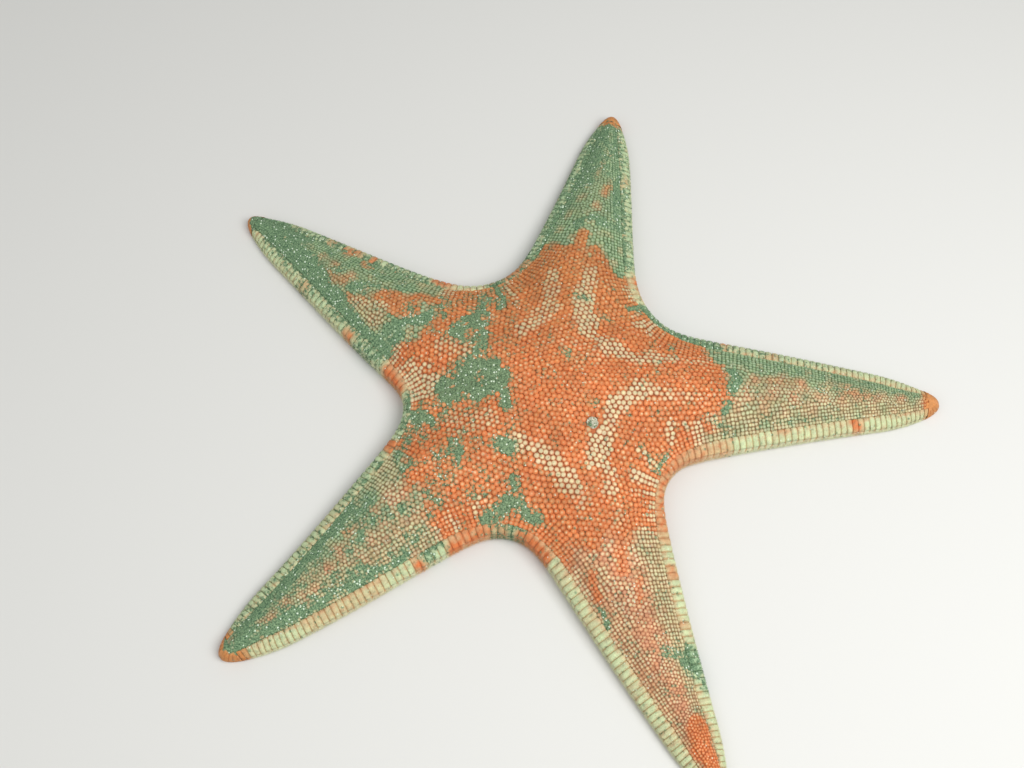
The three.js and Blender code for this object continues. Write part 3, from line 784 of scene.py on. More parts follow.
def markings(xy):
    """What the animal's colours are made of at each point: how likely a cream crown is, how far
    out of the orange field the point is, how far in the pale rows by the margins, the silt there, how
    dusted it is, with painted shade heavier towards the upper left, and the orange of the tips."""
    arm_of, place = local(xy)
    warped = xy + 0.8 * np.stack([ripple(xy, 9, 1), ripple(xy, 9, 2)], axis=-1)
    outside, comb, dust_and_shade, tip = np.zeros((4, len(xy)))
    for index, arm in enumerate(ARMS):
        here = arm_of == index
        x, y = place[here].T
        inner = np.maximum(tapered_half_width(arm, np.minimum(x, arm.length - 1)) - PLATE_LENGTH, 4)
        across = np.clip((y - axis_offset(arm, x)) / inner, -1, 1)
        right, middle, left = FIELD_REACH[arm.name]
        reach = np.interp(across, [-1, -0.3, 0.3, 1], [right, middle, middle, left])
        reach += 2 * ripple(xy[here], 12, 3) + 1.2 * ripple(xy[here], 4, 25)
        outside[here] = smoothstep(x, reach - 2, reach + 3)
        pale = np.interp(across, [-0.1, 0.1], COMB_PALENESS[arm.name])
        beside = np.abs(across) + 0.08 * ripple(xy[here], 8, 26)
        comb[here] = pale * outside[here] * smoothstep(beside, 0.3, 0.62)
        # Dust, and painted shade heavier towards the upper left of the plan, beyond the orange field.
        dust_and_shade[here] = outside[here] * np.interp(across, [-0.8, 0, 0.8], ARM_DUST_AND_SHADE[arm.name])
        if arm.name not in SILTED_TIPS:
            tip[here] = 1 - smoothstep(arm.length - x, TIP_REACH[arm.name] - 2, TIP_REACH[arm.name] + 1)
    clumps = 0.3 * ripple(xy, 5, 14) + 0.25 * ripple(xy, 12, 15)
    orange = np.clip(streaks(warped, ORANGE_STREAKS), 0, 1)
    streaked = streaks(warped, CREAM_STREAKS)
    cream = lerp(np.clip(0.62 + 1.3 * clumps, 0.1, 0.9), 0.95, comb) * outside * (1 - orange)
    cream = np.maximum(cream, streaked)
    cream = np.maximum(cream, np.clip(0.04 + 0.14 * ripple(xy, 8, 16), 0, 0.26))
    silt = streaks(warped, SILT_STREAKS, softness=2)
    silt = silt * (0.88 + 0.2 * ripple(xy, 7, 4) + 0.14 * ripple(xy, 3, 17))
    background = 0.1 + 0.2 * smoothstep(-xy[:, 0], 0, 45)
    background = background * (1 + 0.8 * ripple(xy, 11, 5) + 0.5 * ripple(xy, 4, 18))
    swept = np.maximum(orange, 0.8 * np.clip(streaked, 0, 1))
    silt = np.clip(np.maximum(silt, background * (1 - 0.7 * swept)), 0, 1)
    dust_and_shade = dust_and_shade * (1 + 0.35 * ripple(xy, 6, 19)) * (1 - 0.5 * streaked)
    dust_and_shade = np.clip(dust_and_shade + 0.4 * silt, 0, 0.85)
    bare = 1 - tip
    plain = (1 - orange) * bare
    return SimpleNamespace(cream=cream * bare, outside=outside * plain, comb=comb * plain,
                           silt=silt * bare, dust_and_shade=dust_and_shade * bare * (1 - 0.85 * orange), tip=tip)


def tip_share(arm, x):
    """How much of the orange of an arm's tip its plates and spinelets have at each x."""
    return 1 - smoothstep(arm.length - x, TIP_REACH[arm.name] - 3, TIP_REACH[arm.name])


def blend(low, high, share):
    return low + (high - low) * np.asarray(share)[:, None]


def with_falloff_shade(colour, xy):
    """The colour browned towards the upper side of the plan: painted shade, where the light falls off."""
    return blend(colour, FALLOFF_SHADE, 0.24 * smoothstep(xy[:, 1], 0, 55))


def skin_colour(marks, xy):
    """The colour between the paxillae."""
    # Painted shade browns the skin towards the upper side of the plan.
    field = with_falloff_shade(blend(BURNT_ORANGE, BROWN_PINK, marks.outside), xy)
    field = blend(field, OLIVE, np.maximum(marks.dust_and_shade, 0.6 * marks.comb))
    return blend(blend(field, DUST, 0.65 * marks.dust_and_shade), BURNT_ORANGE, marks.tip)


# ---- Materials -----------------------------------------------------------------------------

def node(tree, kind, inputs=(), **settings):
    """A node with its settings and inputs: a plain value, or another node's output socket."""
    made = tree.nodes.new(kind)
    for key, value in settings.items():
        setattr(made, key, value)
    for key, value in dict(inputs).items():
        socket = made.inputs[key]
        if isinstance(value, bpy.types.NodeSocket):
            tree.links.new(value, socket)
        else:
            socket.default_value = value
    return made


def living_material(name, grain, bump, roughness):
    """Colour from the mesh's tint, mottled, with silt lying on it and a fine grain."""
    material = bpy.data.materials.new(name)
    material.use_nodes = True
    tree = material.node_tree
    shader = tree.nodes["Principled BSDF"]
    place = node(tree, "ShaderNodeTexCoord").outputs["Object"]

    def painted(attribute, output):
        return node(tree, "ShaderNodeAttribute", attribute_name=attribute).outputs[output]

    def noise(scale, detail):
        inputs = {"Vector": place, "Scale": scale, "Detail": detail}
        return node(tree, "ShaderNodeTexNoise", inputs).outputs["Fac"]

    def cells(scale):
        return node(tree, "ShaderNodeTexVoronoi", {"Vector": place, "Scale": scale}).outputs

    def channel(colour, index):
        return node(tree, "ShaderNodeSeparateColor", {0: colour}).outputs[index]

    def calculate(operation, first, second):
        return node(tree, "ShaderNodeMath", {0: first, 1: second}, operation=operation).outputs[0]

    def mix(share, first, second, blend_type="MIX"):
        inputs = {0: share, 6: first, 7: second}
        return node(tree, "ShaderNodeMix", inputs, data_type="RGBA", blend_type=blend_type).outputs[2]

    def remap(value, low, high, to_low, to_high):
        inputs = {0: value, 1: low, 2: high, 3: to_low, 4: to_high}
        return node(tree, "ShaderNodeMapRange", inputs).outputs[0]

    # The tint, mottled, with painted shade between fine grains.
    mottle = noise(600.0, 4.0)
    between = cells(grain)["Distance"]
    shaded = mix(1.0, painted("tint", "Color"), remap(mottle, 0.3, 0.7, 0.86, 1.12), "MULTIPLY")
    shaded = mix(1.0, shaded, remap(between, 0.0, 0.7, 1.06, 0.84), "MULTIPLY")

    # Silt of two greens with pale grains in it.
    specks = cells(1050.0)
    rare = channel(specks["Color"], 0)
    small = calculate("LESS_THAN", specks["Distance"], 0.36)
    bright = calculate("MULTIPLY", calculate("GREATER_THAN", rare, 0.8), small)
    sand = noise(1900.0, 2.0)
    dusty = mix(remap(sand, 0.36, 0.62, 0.0, 1.0), (*SILT_DARK, 1), (*SILT_LIGHT, 1))
    dusty = mix(bright, dusty, (*SILT_GRAIN, 1))

    # Where the silt lies: its uneven edge, and dabs of it elsewhere.
    blotch = noise(1100.0, 3.0)
    uneven = calculate("ADD", calculate("MULTIPLY", mottle, 0.5), calculate("MULTIPLY", blotch, 0.5))
    edge = calculate("SUBTRACT", painted("silt", "Fac"), remap(uneven, 0.36, 0.64, 0.0, 0.8))
    dabs = cells(620.0)
    chosen = calculate("GREATER_THAN", channel(dabs["Color"], 1), 0.9)
    dab = calculate("MULTIPLY", chosen, remap(dabs["Distance"], 0.2, 0.42, 0.75, 0.0))
    cover = calculate("MAXIMUM", remap(edge, -0.08, 0.16, 0.0, 0.94), dab)
    colour = mix(cover, shaded, dusty)

    # Single pale grains all over.
    tiny = calculate("LESS_THAN", specks["Distance"], 0.3)
    grit = calculate("MULTIPLY", calculate("GREATER_THAN", rare, 0.965), tiny)
    colour = mix(calculate("MULTIPLY", grit, 0.7), colour, (*SILT_GRAIN, 1))
    tree.links.new(colour, shader.inputs["Base Color"])
    tree.links.new(remap(mottle, 0.3, 0.7, roughness - 0.06, roughness + 0.1), shader.inputs["Roughness"])

    height = calculate("SUBTRACT", noise(2600.0, 2.0), calculate("MULTIPLY", between, 1.4))
    heap = calculate("MULTIPLY", cover, calculate("MULTIPLY", sand, 5.0))
    height = calculate("ADD", height, heap)
    bumped = node(tree, "ShaderNodeBump", {"Height": height, "Strength": bump, "Distance": 0.0002})
    tree.links.new(bumped.outputs["Normal"], shader.inputs["Normal"])
    shader.inputs["Specular IOR Level"].default_value = 0.35
    return material


SKIN = living_material("star_skin", 2200.0, 0.5, 0.62)
PAXILLA = living_material("paxilla_crowns", 3600.0, 0.35, 0.55)
PLATES = living_material("marginal_plates", 3000.0, 0.5, 0.58)
FEET = living_material("tube_foot_skin", 1500.0, 0.2, 0.38)
STONE = living_material("madreporite_stone", 3200.0, 0.6, 0.66)

# ---- Skin ----------------------------------------------------------------------------------

even_across = np.linspace(-1, 1, COLUMNS + 1)
surface = star_surface(even_across)
fan, quads, border = surface_faces()


def body_wall():
    """The one skin of the disc and the arms: its upper side, its oral side and the walls between."""
    silt = markings(surface[:, :2]).silt
    top = surface.copy()
    outward = smoothstep(np.hypot(top[:, 0], top[:, 1]), 60, 130)
    top[:, 2] -= SKIN_DEPTH * lerp(1, OUTER_SHARE, outward) * (1 - SILT_FILL * smoothstep(silt, 0.3, 0.9))
    underside = star_surface(np.sign(even_across) * np.abs(even_across) ** 1.6)
    in_mouth = np.hypot(underside[:, 0], underside[:, 1]) < MOUTH_RADIUS + GAP
    recess = np.where(in_mouth, MOUTH_TOP + GAP, groove_height(underside[:, :2]))
    underside[:, 2] = np.maximum(ORAL_DEPTH, recess)

    shift = len(top)
    after = np.roll(border, -1)
    walls = np.stack([border + shift, after + shift, after, border], axis=-1)
    points = np.concatenate([top, underside])
    polygons = [
        np.concatenate([fan, fan[:, ::-1] + shift]),
        np.concatenate([quads, quads[:, ::-1] + shift, walls]),
    ]
    plan = points[:, :2]
    marks = markings(plan)
    colour = skin_colour(marks, plan)
    below = np.arange(len(points)) >= shift
    colour[below] = blend(ORAL_ORANGE, ORAL_PALE, 0.5 + 0.5 * ripple(plan[below], 12, 6))
    silt = np.where(below, 0.0, np.clip(1.5 * marks.silt, 0, 1))
    replaced = ["disc"] + [f"arm_{arm.name}" for arm in ARMS]
    add_piece("body_wall", points, polygons, SKIN, replaced, colour, silt)


body_wall()
tree_over = BVHTree.FromPolygons(surface.tolist(), fan.tolist() + quads.tolist())


def drop_on_surface(xy):
    """Height and normal of the star's upper side at each point, and whether there is any."""
    down = Vector((0, 0, -1))
    heights = np.zeros(len(xy))
    normals = np.zeros((len(xy), 3))
    found = np.zeros(len(xy), dtype=bool)
    for row, (x, y) in enumerate(xy):
        hit, normal, _, _ = tree_over.ray_cast(Vector((x, y, 60)), down)
        if hit is not None:
            heights[row] = hit.z
            normals[row] = normal
            found[row] = True
    return heights, normals, found


# ---- Where the paxillae grow ---------------------------------------------------------------

# How far apart the paxillae stand away from the margins, at distances from the centre.
PITCH_RADII = [0, 15, 35, 50, 62, 80, 95, 112, 130, 145]
PITCHES = [1.85, 1.95, 2.1, 1.98, 1.88, 1.62, 1.4, 1.2, 1.06, 0.98]


ROW_SPACING = 0.72  # least distance between paxillae of the rows by the margins, as a share of the pitch
FREE_SPACING = 0.74  # the same for all others
DARTS = 90000  # thrown to fill what the rows and the columns leave empty
EVENING_STEPS = 14
WANDER = 0.05  # of each paxilla from its even place, as a share of the pitch
CROWN_SHARE = 0.565  # radius of a crown as a share of the way to its nearest neighbours


def free_pitch(radius):
    return np.interp(radius, PITCH_RADII, PITCHES)


def pitch_at(xy, distance):
    return np.minimum(free_pitch(np.hypot(xy[:, 0], xy[:, 1])), 1.25 + 0.075 * distance)


def margin_rows():
    """Paxillae in rows that run in from the marginal plates."""
    rows = []
    for (index, side), (stations, feet, normal) in runs.items():
        arm = ARMS[index]
        run = run_along(feet[:, :2])
        middle = turn(np.stack([stations.x, axis_offset(arm, stations.x)], axis=-1), arm.azimuth)
        inner = np.linalg.norm(feet[:, :2] - middle, axis=1)
        at = 0.8
        while at < run[-1]:
            share = np.interp(at, run, stations.share)
            row = np.searchsorted(run, at)
            start = feet[row, :2]
            inward = -normal[row]
            depth = min(0.6 * inner[row], 6 + 26 * (1 - share))
            pitch = 0.94 + 0.36 * share
            into = 0.3 * pitch
            while into < depth:
                rows.append(start + inward * into)
                into += pitch * (1 + 0.03 * into)
            at += 0.98 + 0.68 * share
    return np.array(rows)


def arm_lattice(index):
    """Staggered columns that run out along an arm and close up towards its tip."""
    arm = ARMS[index]
    step = 0.05
    x = np.arange(0.6, arm.length - TERMINAL_LENGTH, step)
    run = np.cumsum(step / free_pitch(x))
    rows = np.arange(1, run[-1] - 1)
    columns = []
    for column in range(-24, 25):
        at = np.interp(rows + 0.5 * (column % 2), run, x)
        y = axis_offset(arm, at) + column * free_pitch(at) * math.sqrt(3) / 2
        columns.append(turn(np.stack([at, y], axis=-1), arm.azimuth))
    columns = np.concatenate(columns)
    return columns[local(columns)[0] == index]


def thin(candidates, spacing, kept=()):
    """Keeps each candidate that isn't within its spacing of one kept before it."""
    cell = 2.4
    grid = {}
    for x, y in kept:
        grid.setdefault((int(x // cell), int(y // cell)), []).append((x, y))
    chosen = []
    for row, ((x, y), space) in enumerate(zip(candidates.tolist(), spacing.tolist())):
        column, line = int(x // cell), int(y // cell)
        limit = space * space
        if all(
            (x - other_x) ** 2 + (y - other_y) ** 2 >= limit
            for step_x in (-1, 0, 1)
            for step_y in (-1, 0, 1)
            for other_x, other_y in grid.get((column + step_x, line + step_y), ())
        ):
            grid.setdefault((column, line), []).append((x, y))
            chosen.append(row)
    return candidates[chosen]


def neighbours(xy, count):
    """The way from each point's nearest neighbours to it, and how long it is."""
    tree = nearest_tree(xy)
    found = [[entry[1] for entry in tree.find_n((x, y, 0), count + 1)][1:] for x, y in xy]
    away = xy[:, None] - xy[np.array(found)]
    return away, np.linalg.norm(away, axis=2)


def even_out(xy, steps):
    """Moves each paxilla to the middle of the patch of skin that is nearest to it."""
    grid = 0.42
    columns, lines = (np.arange(low, high + 1, grid) for low, high in zip(PLAN_LOW, PLAN_HIGH))
    x, y = np.meshgrid(columns, lines)
    skin = np.stack([x.ravel(), y.ravel()], axis=-1)
    skin = skin + random.uniform(-grid / 3, grid / 3, skin.shape)
    skin = skin[drop_on_surface(skin)[2]]
    distance = from_margin(skin)[0]
    weight = pitch_at(skin, distance) ** -4
    corners = [(x, y, 0) for x, y in skin]
    for _ in range(steps):
        tree = nearest_tree(xy)
        nearest = np.array([tree.find(corner)[1] for corner in corners])
        total = np.maximum(np.bincount(nearest, weight, len(xy)), 1e-9)
        middle = np.stack([
            np.bincount(nearest, weight * skin[:, axis], len(xy)) / total for axis in (0, 1)
        ], axis=-1)
        mobility = 0.08 + 1.3 * smoothstep(from_margin(xy)[0], 1.5, 9)
        xy = np.where(total[:, None] > 1e-8, xy + (middle - xy) * mobility[:, None], xy)
    return xy


def paxilla_places():
    rows = margin_rows()
    rows = thin(rows, ROW_SPACING * pitch_at(rows, from_margin(rows)[0]))
    lattice = np.concatenate([arm_lattice(index) for index in range(5)])
    darts = random.uniform(PLAN_LOW, PLAN_HIGH, (DARTS, 2))
    free = np.concatenate([lattice, darts])
    free = free[drop_on_surface(free)[2]]
    pitch = pitch_at(free, from_margin(free)[0])
    free = thin(free, FREE_SPACING * pitch, rows)
    settled = even_out(np.concatenate([rows, free]), EVENING_STEPS)
    wander = WANDER * pitch_at(settled, from_margin(settled)[0])
    return settled + random.normal(0, 1, settled.shape) * wander[:, None]


places = paxilla_places()
sieve_low, sieve_high = (np.array(corner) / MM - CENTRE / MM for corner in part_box("madreporite"))
sieve_centre = (sieve_low + sieve_high) / 2
clear = np.linalg.norm(places - sieve_centre[:2], axis=1) > MADREPORITE_RADIUS + 0.6
places = places[clear]
heights, normals, found = drop_on_surface(places)
places, heights, normals = places[found], heights[found], normals[found]
_, apart = neighbours(places, 6)
crown_radius = np.clip(CROWN_SHARE * apart[:, :5].mean(axis=1), 0.4, 1.4)
crown_radius *= random.uniform(0.92, 1.06, len(places))

# ---- Paxillae ------------------------------------------------------------------------------

LARGE_CROWN = lathe_template(
    [(0, 0.12, 0, 0), (0.34, 0.12, 0, -0.06), (0.62, 0.08, 0, 0.04), (0.86, 0, 0, 0.05), (1, -0.14, 0, 0.05),
     (0.84, -0.3, -0.35, 0)],
    14, 7)
SMALL_CROWN = lathe_template(
    [(0, 0.12, 0, 0), (0.48, 0.1, 0, 0.02), (0.84, 0, 0, 0.05), (1, -0.14, 0, 0.05), (0.84, -0.3, -0.35, 0)],
    10, 5)
TINY_CROWN = lathe_template(
    [(0, 0.13, 0, 0), (0.55, 0.09, 0, 0), (0.96, -0.1, 0, 0.04), (0.84, -0.3, -0.35, 0)], 9, 3)
# Each crown with the radii that it serves.
CROWNS = ((LARGE_CROWN, 0.9, 9.0), (SMALL_CROWN, 0.66, 0.9), (TINY_CROWN, 0.0, 0.66))

crown_marks = markings(places)
arm_of, arm_place = local(places)
lot = random.uniform(0, 1, len(places))
creamy = np.clip(crown_marks.cream + 0.4 * (lot - 0.5) * smoothstep(crown_marks.cream, 0, 0.3), 0, 1)
shade = random.uniform(0.9, 1.06, (len(places), 1)) * (1 + 0.05 * ripple(places, 24, 12))[:, None]
shade = shade * (1 + random.uniform(-0.03, 0.03, (len(places), 3)))
dot = (random.uniform(0, 1, len(places)) < 0.3) * random.uniform(0.2, 0.8, len(places))
dot_place = random.uniform(-0.3, 0.3, (len(places), 2))


def crown_colour(planted, rows):
    """Pale in the middle and deeper round the edge of each crown, the deeper edge being painted shade: a
    cream spot that grows with the crown's creaminess, on orange, on pink outside the orange field, or on
    olive by the margins."""
    which = rows[planted.copy_of]
    cream = creamy[which]
    tip = crown_marks.tip[which]
    outside = crown_marks.outside[which]
    comb = crown_marks.comb[which]
    ground = blend(blend(ORANGE, BROWN_PINK, 0.8 * smoothstep(cream, 0.3, 0.9)), PINKISH, outside)
    ground = blend(ground, OLIVE, 0.75 * comb)
    ground = blend(ground, TIP_ORANGE, tip)
    pale = blend(blend(LIGHT_ORANGE, CREAM, np.clip(0.05 + 1.1 * cream, 0, 1)), TIP_ORANGE, tip)
    spot = 0.26 + lerp(lerp(0.46, 0.3, outside), 0.44, comb) * cream
    colour = blend(pale, ground, smoothstep(planted.out, spot - 0.26, spot + 0.26))
    x = planted.out * np.cos(planted.around) - dot_place[which, 0]
    y = planted.out * np.sin(planted.around) - dot_place[which, 1]
    colour = blend(colour, CREAM, dot[which] * (1 - tip) * (1 - smoothstep(np.hypot(x, y), 0.2, 0.5)))
    # Painted shade: each crown's rim, and most of all the stalk under it, darkens towards deep orange, as in
    # the crevices between crowns.
    edge = smoothstep(planted.out, 0.8, 1.05)
    edge = np.maximum(edge, (planted.down > 0.95) * 1.0)
    deep = blend(blend(DEEP_ORANGE, BROWN_PINK, outside), BURNT_ORANGE, tip)
    colour = blend(colour, deep, 0.35 * edge)
    # Painted shade browns the crowns towards the upper side of the plan, but not the orange tips.
    colour = blend(with_falloff_shade(colour, places[which]), colour, tip)
    # A veil of dust over the crowns, which also serves as painted shade on the upper left arms.
    veil = blend(PALE_DUST, DUST, smoothstep(planted.out, 0.35, 0.95))
    colour = blend(colour, veil, 0.9 * crown_marks.dust_and_shade[which])
    return colour * shade[which]


for index, arm in enumerate(ARMS):
    parts = []
    for template, least, most in CROWNS:
        rows = np.flatnonzero((arm_of == index) & (crown_radius >= least) & (crown_radius < most))
        roots = np.concatenate([places[rows], heights[rows, None]], axis=1)
        planted = plant(template, roots, normals[rows], crown_radius[rows])
        silt = crown_marks.silt[rows][planted.copy_of]
        silt = silt * lerp(0.6 + 0.55 * planted.down, 1.1, smoothstep(silt, 0.7, 1))
        parts.append((planted, crown_colour(planted, rows), silt, patch_uv(planted, *arm_place[rows].T)))
    add_coat(f"paxillae_{arm.name}", parts, PAXILLA)

# ---- Marginal plates -----------------------------------------------------------------------

# How far apart the plates stand, at shares of the run from the corner between two arms to the tip.
PLATE_SHARES = [0, 0.4, 0.6, 0.8, 0.92, 1]
PLATE_PITCHES = [2.5, 2.56, 2.42, 2.2, 1.95, 1.7]
PLATE_GROOVE = 0.05  # share of the pitch between two plates
BAR_STATIONS = np.array([0, 0.06, 0.16, 0.3, 0.5, 0.7, 0.84, 0.94, 1])  # along a plate
BAND_STATIONS = 90  # along the band that shows in the grooves
BAND_DEEPER = 0.02  # than the edges of the plates
GAP_COVER = 0.42  # how far the upper plates reach in over the edge of the skin
PLATE_RISE = 0.12  # of the upper plates over their shoulder

# How far the top of an upper plate lies below its shoulder, at shares of its length.
SUPERO_SHARES = [0, 0.05, 0.12, 0.22, 0.34, 0.58, 0.82, 0.94, 1]
SUPERO_FALLS = [1, 0.74, 0.62, 0.48, 0.33, 0.12, 0, 0.03, 0.16]

GRANULE = lathe_template([(0, 0.5, 0, 0), (0.7, 0.3, 0, 0), (1, -0.3, 0, 0)], 6)


def supero_top(length, shoulder, shares, sunk):
    """How far in and how high the top of an upper plate lies, at shares of its length."""
    inner = UPPER_EDGE_INSET + (length + GAP_COVER - UPPER_EDGE_INSET) * shares
    falls = np.interp(shares, SUPERO_SHARES, SUPERO_FALLS)
    return inner, shoulder - SUPERO_DROP * falls + PLATE_RISE - sunk


def supero_profile(stations, sunk, rounding=0.9):
    """The cross-section of an upper plate, from its outer foot over its top to its inner foot."""
    length, shoulder = stations.length, stations.shoulder
    shares = np.array([0, 0.05, 0.12, 0.22, 0.34, 0.46, 0.58, 0.7, 0.82, 0.92, 0.98, 1])
    sunk = sunk[:, None]
    inner, height = supero_top(length[:, None], shoulder[:, None], shares, sunk)
    inner = inner + 0.6 * sunk * (1 - shares) - rounding * sunk * smoothstep(shares, 0.6, 1)
    low = shoulder - SUPERO_DROP
    under = np.stack([length - 0.25, np.full_like(length, UPPER_EDGE_INSET + 0.3)], axis=1)
    foot = np.stack([low, low], axis=1)
    return np.concatenate([inner, under], axis=1), np.concatenate([height, foot], axis=1)


def infero_profile(stations, sunk, rounding=0.9):
    """The cross-section of a lower plate, from its inner foot round its edge to its top."""
    high = stations.shoulder - SUPERO_DROP - GAP
    foot = np.minimum(FOOT_INSET, 0.6 * stations.length)
    edge = [np.full_like(high, inward) for inward in (0.85, 0.5, 0.34, 0.4, 0.7)]
    inner = np.stack([stations.length, foot, *edge, stations.length], axis=1)
    inner[:, 2:7] += np.minimum(1, rounding + 0.5) * sunk[:, None]
    return inner, high[:, None] * [0, 0, 0.1, 0.3, 0.55, 0.85, 1, 1]


def cross_sections(margin, stations, inner, height):
    """Rings of points across a margin, which wind the same way on both sides of an arm."""
    wide = SimpleNamespace(point=stations.point[:, None], normal=stations.normal[:, None])
    rings = inset(wide, inner, height)
    return rings if margin.side > 0 else rings[:, ::-1]


def plate_borders(run):
    """Where the borders of the plates lie along a margin's run."""
    along = np.linspace(0, run, 400)
    pitches = np.interp(along[1:] / run, PLATE_SHARES, PLATE_PITCHES)
    plates = np.concatenate([[0], np.cumsum(np.diff(along) / pitches)])
    count = round(plates[-1])
    return np.interp(np.arange(count + 1) * plates[-1] / count, plates, along)


def bar_granules(margin, stations, number, along):
    """Granules over the top of each upper plate, in three rows across it."""
    spots, outward, which = [], [], []
    for lane, share_along in enumerate((0.16, 0.5, 0.84)):
        rows = np.flatnonzero(np.isclose(along, share_along))
        chosen = margin.at(stations.x[rows])
        for share in np.linspace(0.06, 0.93, 9):
            jitter = random.uniform(-0.025, 0.025, len(rows)) + 0.04 * (lane - 1)
            shares = np.clip(share + jitter, 0.03, 0.96)
            sunk = 0.04 if lane == 1 else 0.2
            spots.append(inset(chosen, *supero_top(chosen.length, chosen.shoulder, shares, sunk)))
            lean = np.interp(shares, [0, 0.1, 0.4, 0.9, 1], [2.5, 1.4, 0.6, 0.05, -0.6])
            outward.append(np.concatenate([chosen.normal * lean[:, None], np.ones((len(rows), 1))], axis=1))
            which.append(number[rows])
    return np.concatenate(spots), unit(np.concatenate(outward)), np.concatenate(which)


def plate_tone(middles, arm, points, which, groove, fleck, cream):
    """Cream plates, paler outside than inside, with blotches of orange, brown in their grooves and
    silt over some."""
    plan = points[:, :2]
    middle_orange = np.clip(streaks(middles, ORANGE_MARGINS, softness=0.8), 0, 1)
    blotch = streaks(plan, ORANGE_MARGINS, softness=1.4) * (1 + 0.3 * ripple(plan, 3, 24))
    orange = np.clip(0.45 * middle_orange[which] + 0.65 * blotch, 0, 1)
    tip = tip_share(arm, turn(middles, -arm.azimuth)[:, 0])
    flush = np.clip(0.12 * ripple(middles, 16, 9), 0, 0.4)
    tone = blend(cream, PINKISH, flush) * random.uniform(0.94, 1.04, (len(middles), 1))
    inward = smoothstep(from_margin(plan)[0], 2.6, 0.2)
    colour = blend(tone[which], PINKISH, np.clip(0.2 * ripple(plan, 3.2, 20) + 0.3 * inward, 0, 0.6))
    colour = blend(blend(colour, ORANGE, orange), TIP_ORANGE, tip[which])
    colour = blend(colour, blend(BROWN_PINK, BURNT_ORANGE, orange), 0.8 * fleck)
    silt = streaks(plan, SILT_MARGINS, softness=2.4)
    silt = silt * (0.85 + 0.2 * ripple(plan, 6, 10) + 0.15 * ripple(plan, 2.5, 21))
    silt = np.clip(silt + 0.06, 0, 1) * (1 - tip[which]) * (1 - 0.6 * orange)
    colour = blend(colour, PALE_DUST, np.clip(0.75 * silt, 0, 1))
    joint = blend(PLATE_JOINT, DEEP_ORANGE, np.maximum(orange, 0.35 * inward * (1 - silt)))
    colour = blend(colour, joint, np.clip(0.54 * groove, 0, 0.7))
    # Painted highlight: granule tops, whose groove share is below zero, are lightened.
    colour = colour * (1 + np.clip(-groove, 0, 1) * 0.4)[:, None]
    in_grooves = 0.4 * np.clip(groove, 0, 1) * (0.1 + silt)
    return colour, np.clip((0.5 + 0.6 * inward) * silt + in_grooves, 0, 1)


def plate_row(margin, profile, depth, cream, slot, solid, granular):
    """A row of plates as bars across the margin, over a band that shows in their grooves."""
    arm = margin.arm
    samples = margin.at(np.linspace(margin.seam_x, margin.end_x, 1500))
    run = run_along(inset(samples, 0.4 * samples.length, samples.shoulder)[:, :2])
    borders = plate_borders(run[-1])
    count = len(borders) - 1
    number = np.repeat(np.arange(count), len(BAR_STATIONS))
    along = np.tile(BAR_STATIONS, count)
    within = PLATE_GROOVE / 2 + (1 - PLATE_GROOVE) * along
    at = np.interp(number + within, np.arange(count + 1), borders)
    stations = margin.at(np.interp(at, run, samples.x))
    stations.length = stations.length + random.uniform(-0.3, 0.2, count)[number]
    stations.shoulder = stations.shoulder + random.uniform(-0.08, 0.08, count)[number]
    off_middle = np.abs(2 * along - 1)
    rings = cross_sections(margin, stations, *profile(stations, depth * off_middle ** 2.6))
    size = rings.shape[1]
    points = rings.reshape(-1, 3)
    points[:, 2] += 0.035 * ripple(points[:, :2], 0.9, 8) * (points[:, 2] > 0.5)
    polygons = repeated(loft_faces(len(BAR_STATIONS), size), count, len(BAR_STATIONS) * size)

    base = margin.at(np.linspace(margin.seam_x, margin.end_x, BAND_STATIONS))
    inner, height = profile(base, np.full(BAND_STATIONS, depth + BAND_DEEPER), 0)
    band = cross_sections(margin, base, inner, np.maximum(height, 0.05)).reshape(-1, 3)

    # Each part: its points and polygons, how deep in a groove, how flecked, and on which plate.
    flat = np.zeros(len(band))
    parts = [
        (points, polygons, np.repeat(off_middle ** 5, size), np.zeros(len(points)), np.repeat(number, size)),
        (band, loft_faces(BAND_STATIONS, size), flat + 1.3, flat, flat.astype(int)),
    ]
    if granular:
        spots, outward, which = bar_granules(margin, stations, number, along)
        planted = plant(GRANULE, spots, outward, random.uniform(0.2, 0.27, len(spots)))
        fleck = (random.uniform(0, 1, len(spots)) < 0.22) * random.uniform(0.2, 0.7, len(spots))
        # Granules: a small groove share at their feet is painted shade, and one below zero on their tops a
        # painted highlight.
        parts.append((planted.points, planted.polygons, np.where(planted.down > 0.7, 0.2, -0.1),
                      fleck[planted.copy_of], which[planted.copy_of]))
    points, polygons = join([part[:2] for part in parts])
    groove, fleck, plate_of = (np.concatenate([part[column] for part in parts]) for column in (2, 3, 4))
    middle_x = np.interp((borders[:-1] + borders[1:]) / 2, run, samples.x)
    middles = turn(inset(margin.at(middle_x), 2.0, 0.0), arm.azimuth)[:, :2]
    points = turn(points, arm.azimuth)
    colour, silt = plate_tone(middles, arm, points, plate_of, groove, fleck, cream)
    label = f"{arm.name}_{'left' if margin.side > 0 else 'right'}"
    add_piece(f"{slot}_{label}", points, polygons, PLATES, [f"{solid}_{label}"], colour, silt)


for margin in MARGINS.values():
    plate_row(margin, supero_profile, 0.5, PLATE_CREAM, "upper_plates", "superomarginals", True)
    plate_row(margin, infero_profile, 0.42, PALE, "lower_plates", "inferomarginals", False)

# ---- Tips of the arms ----------------------------------------------------------------------

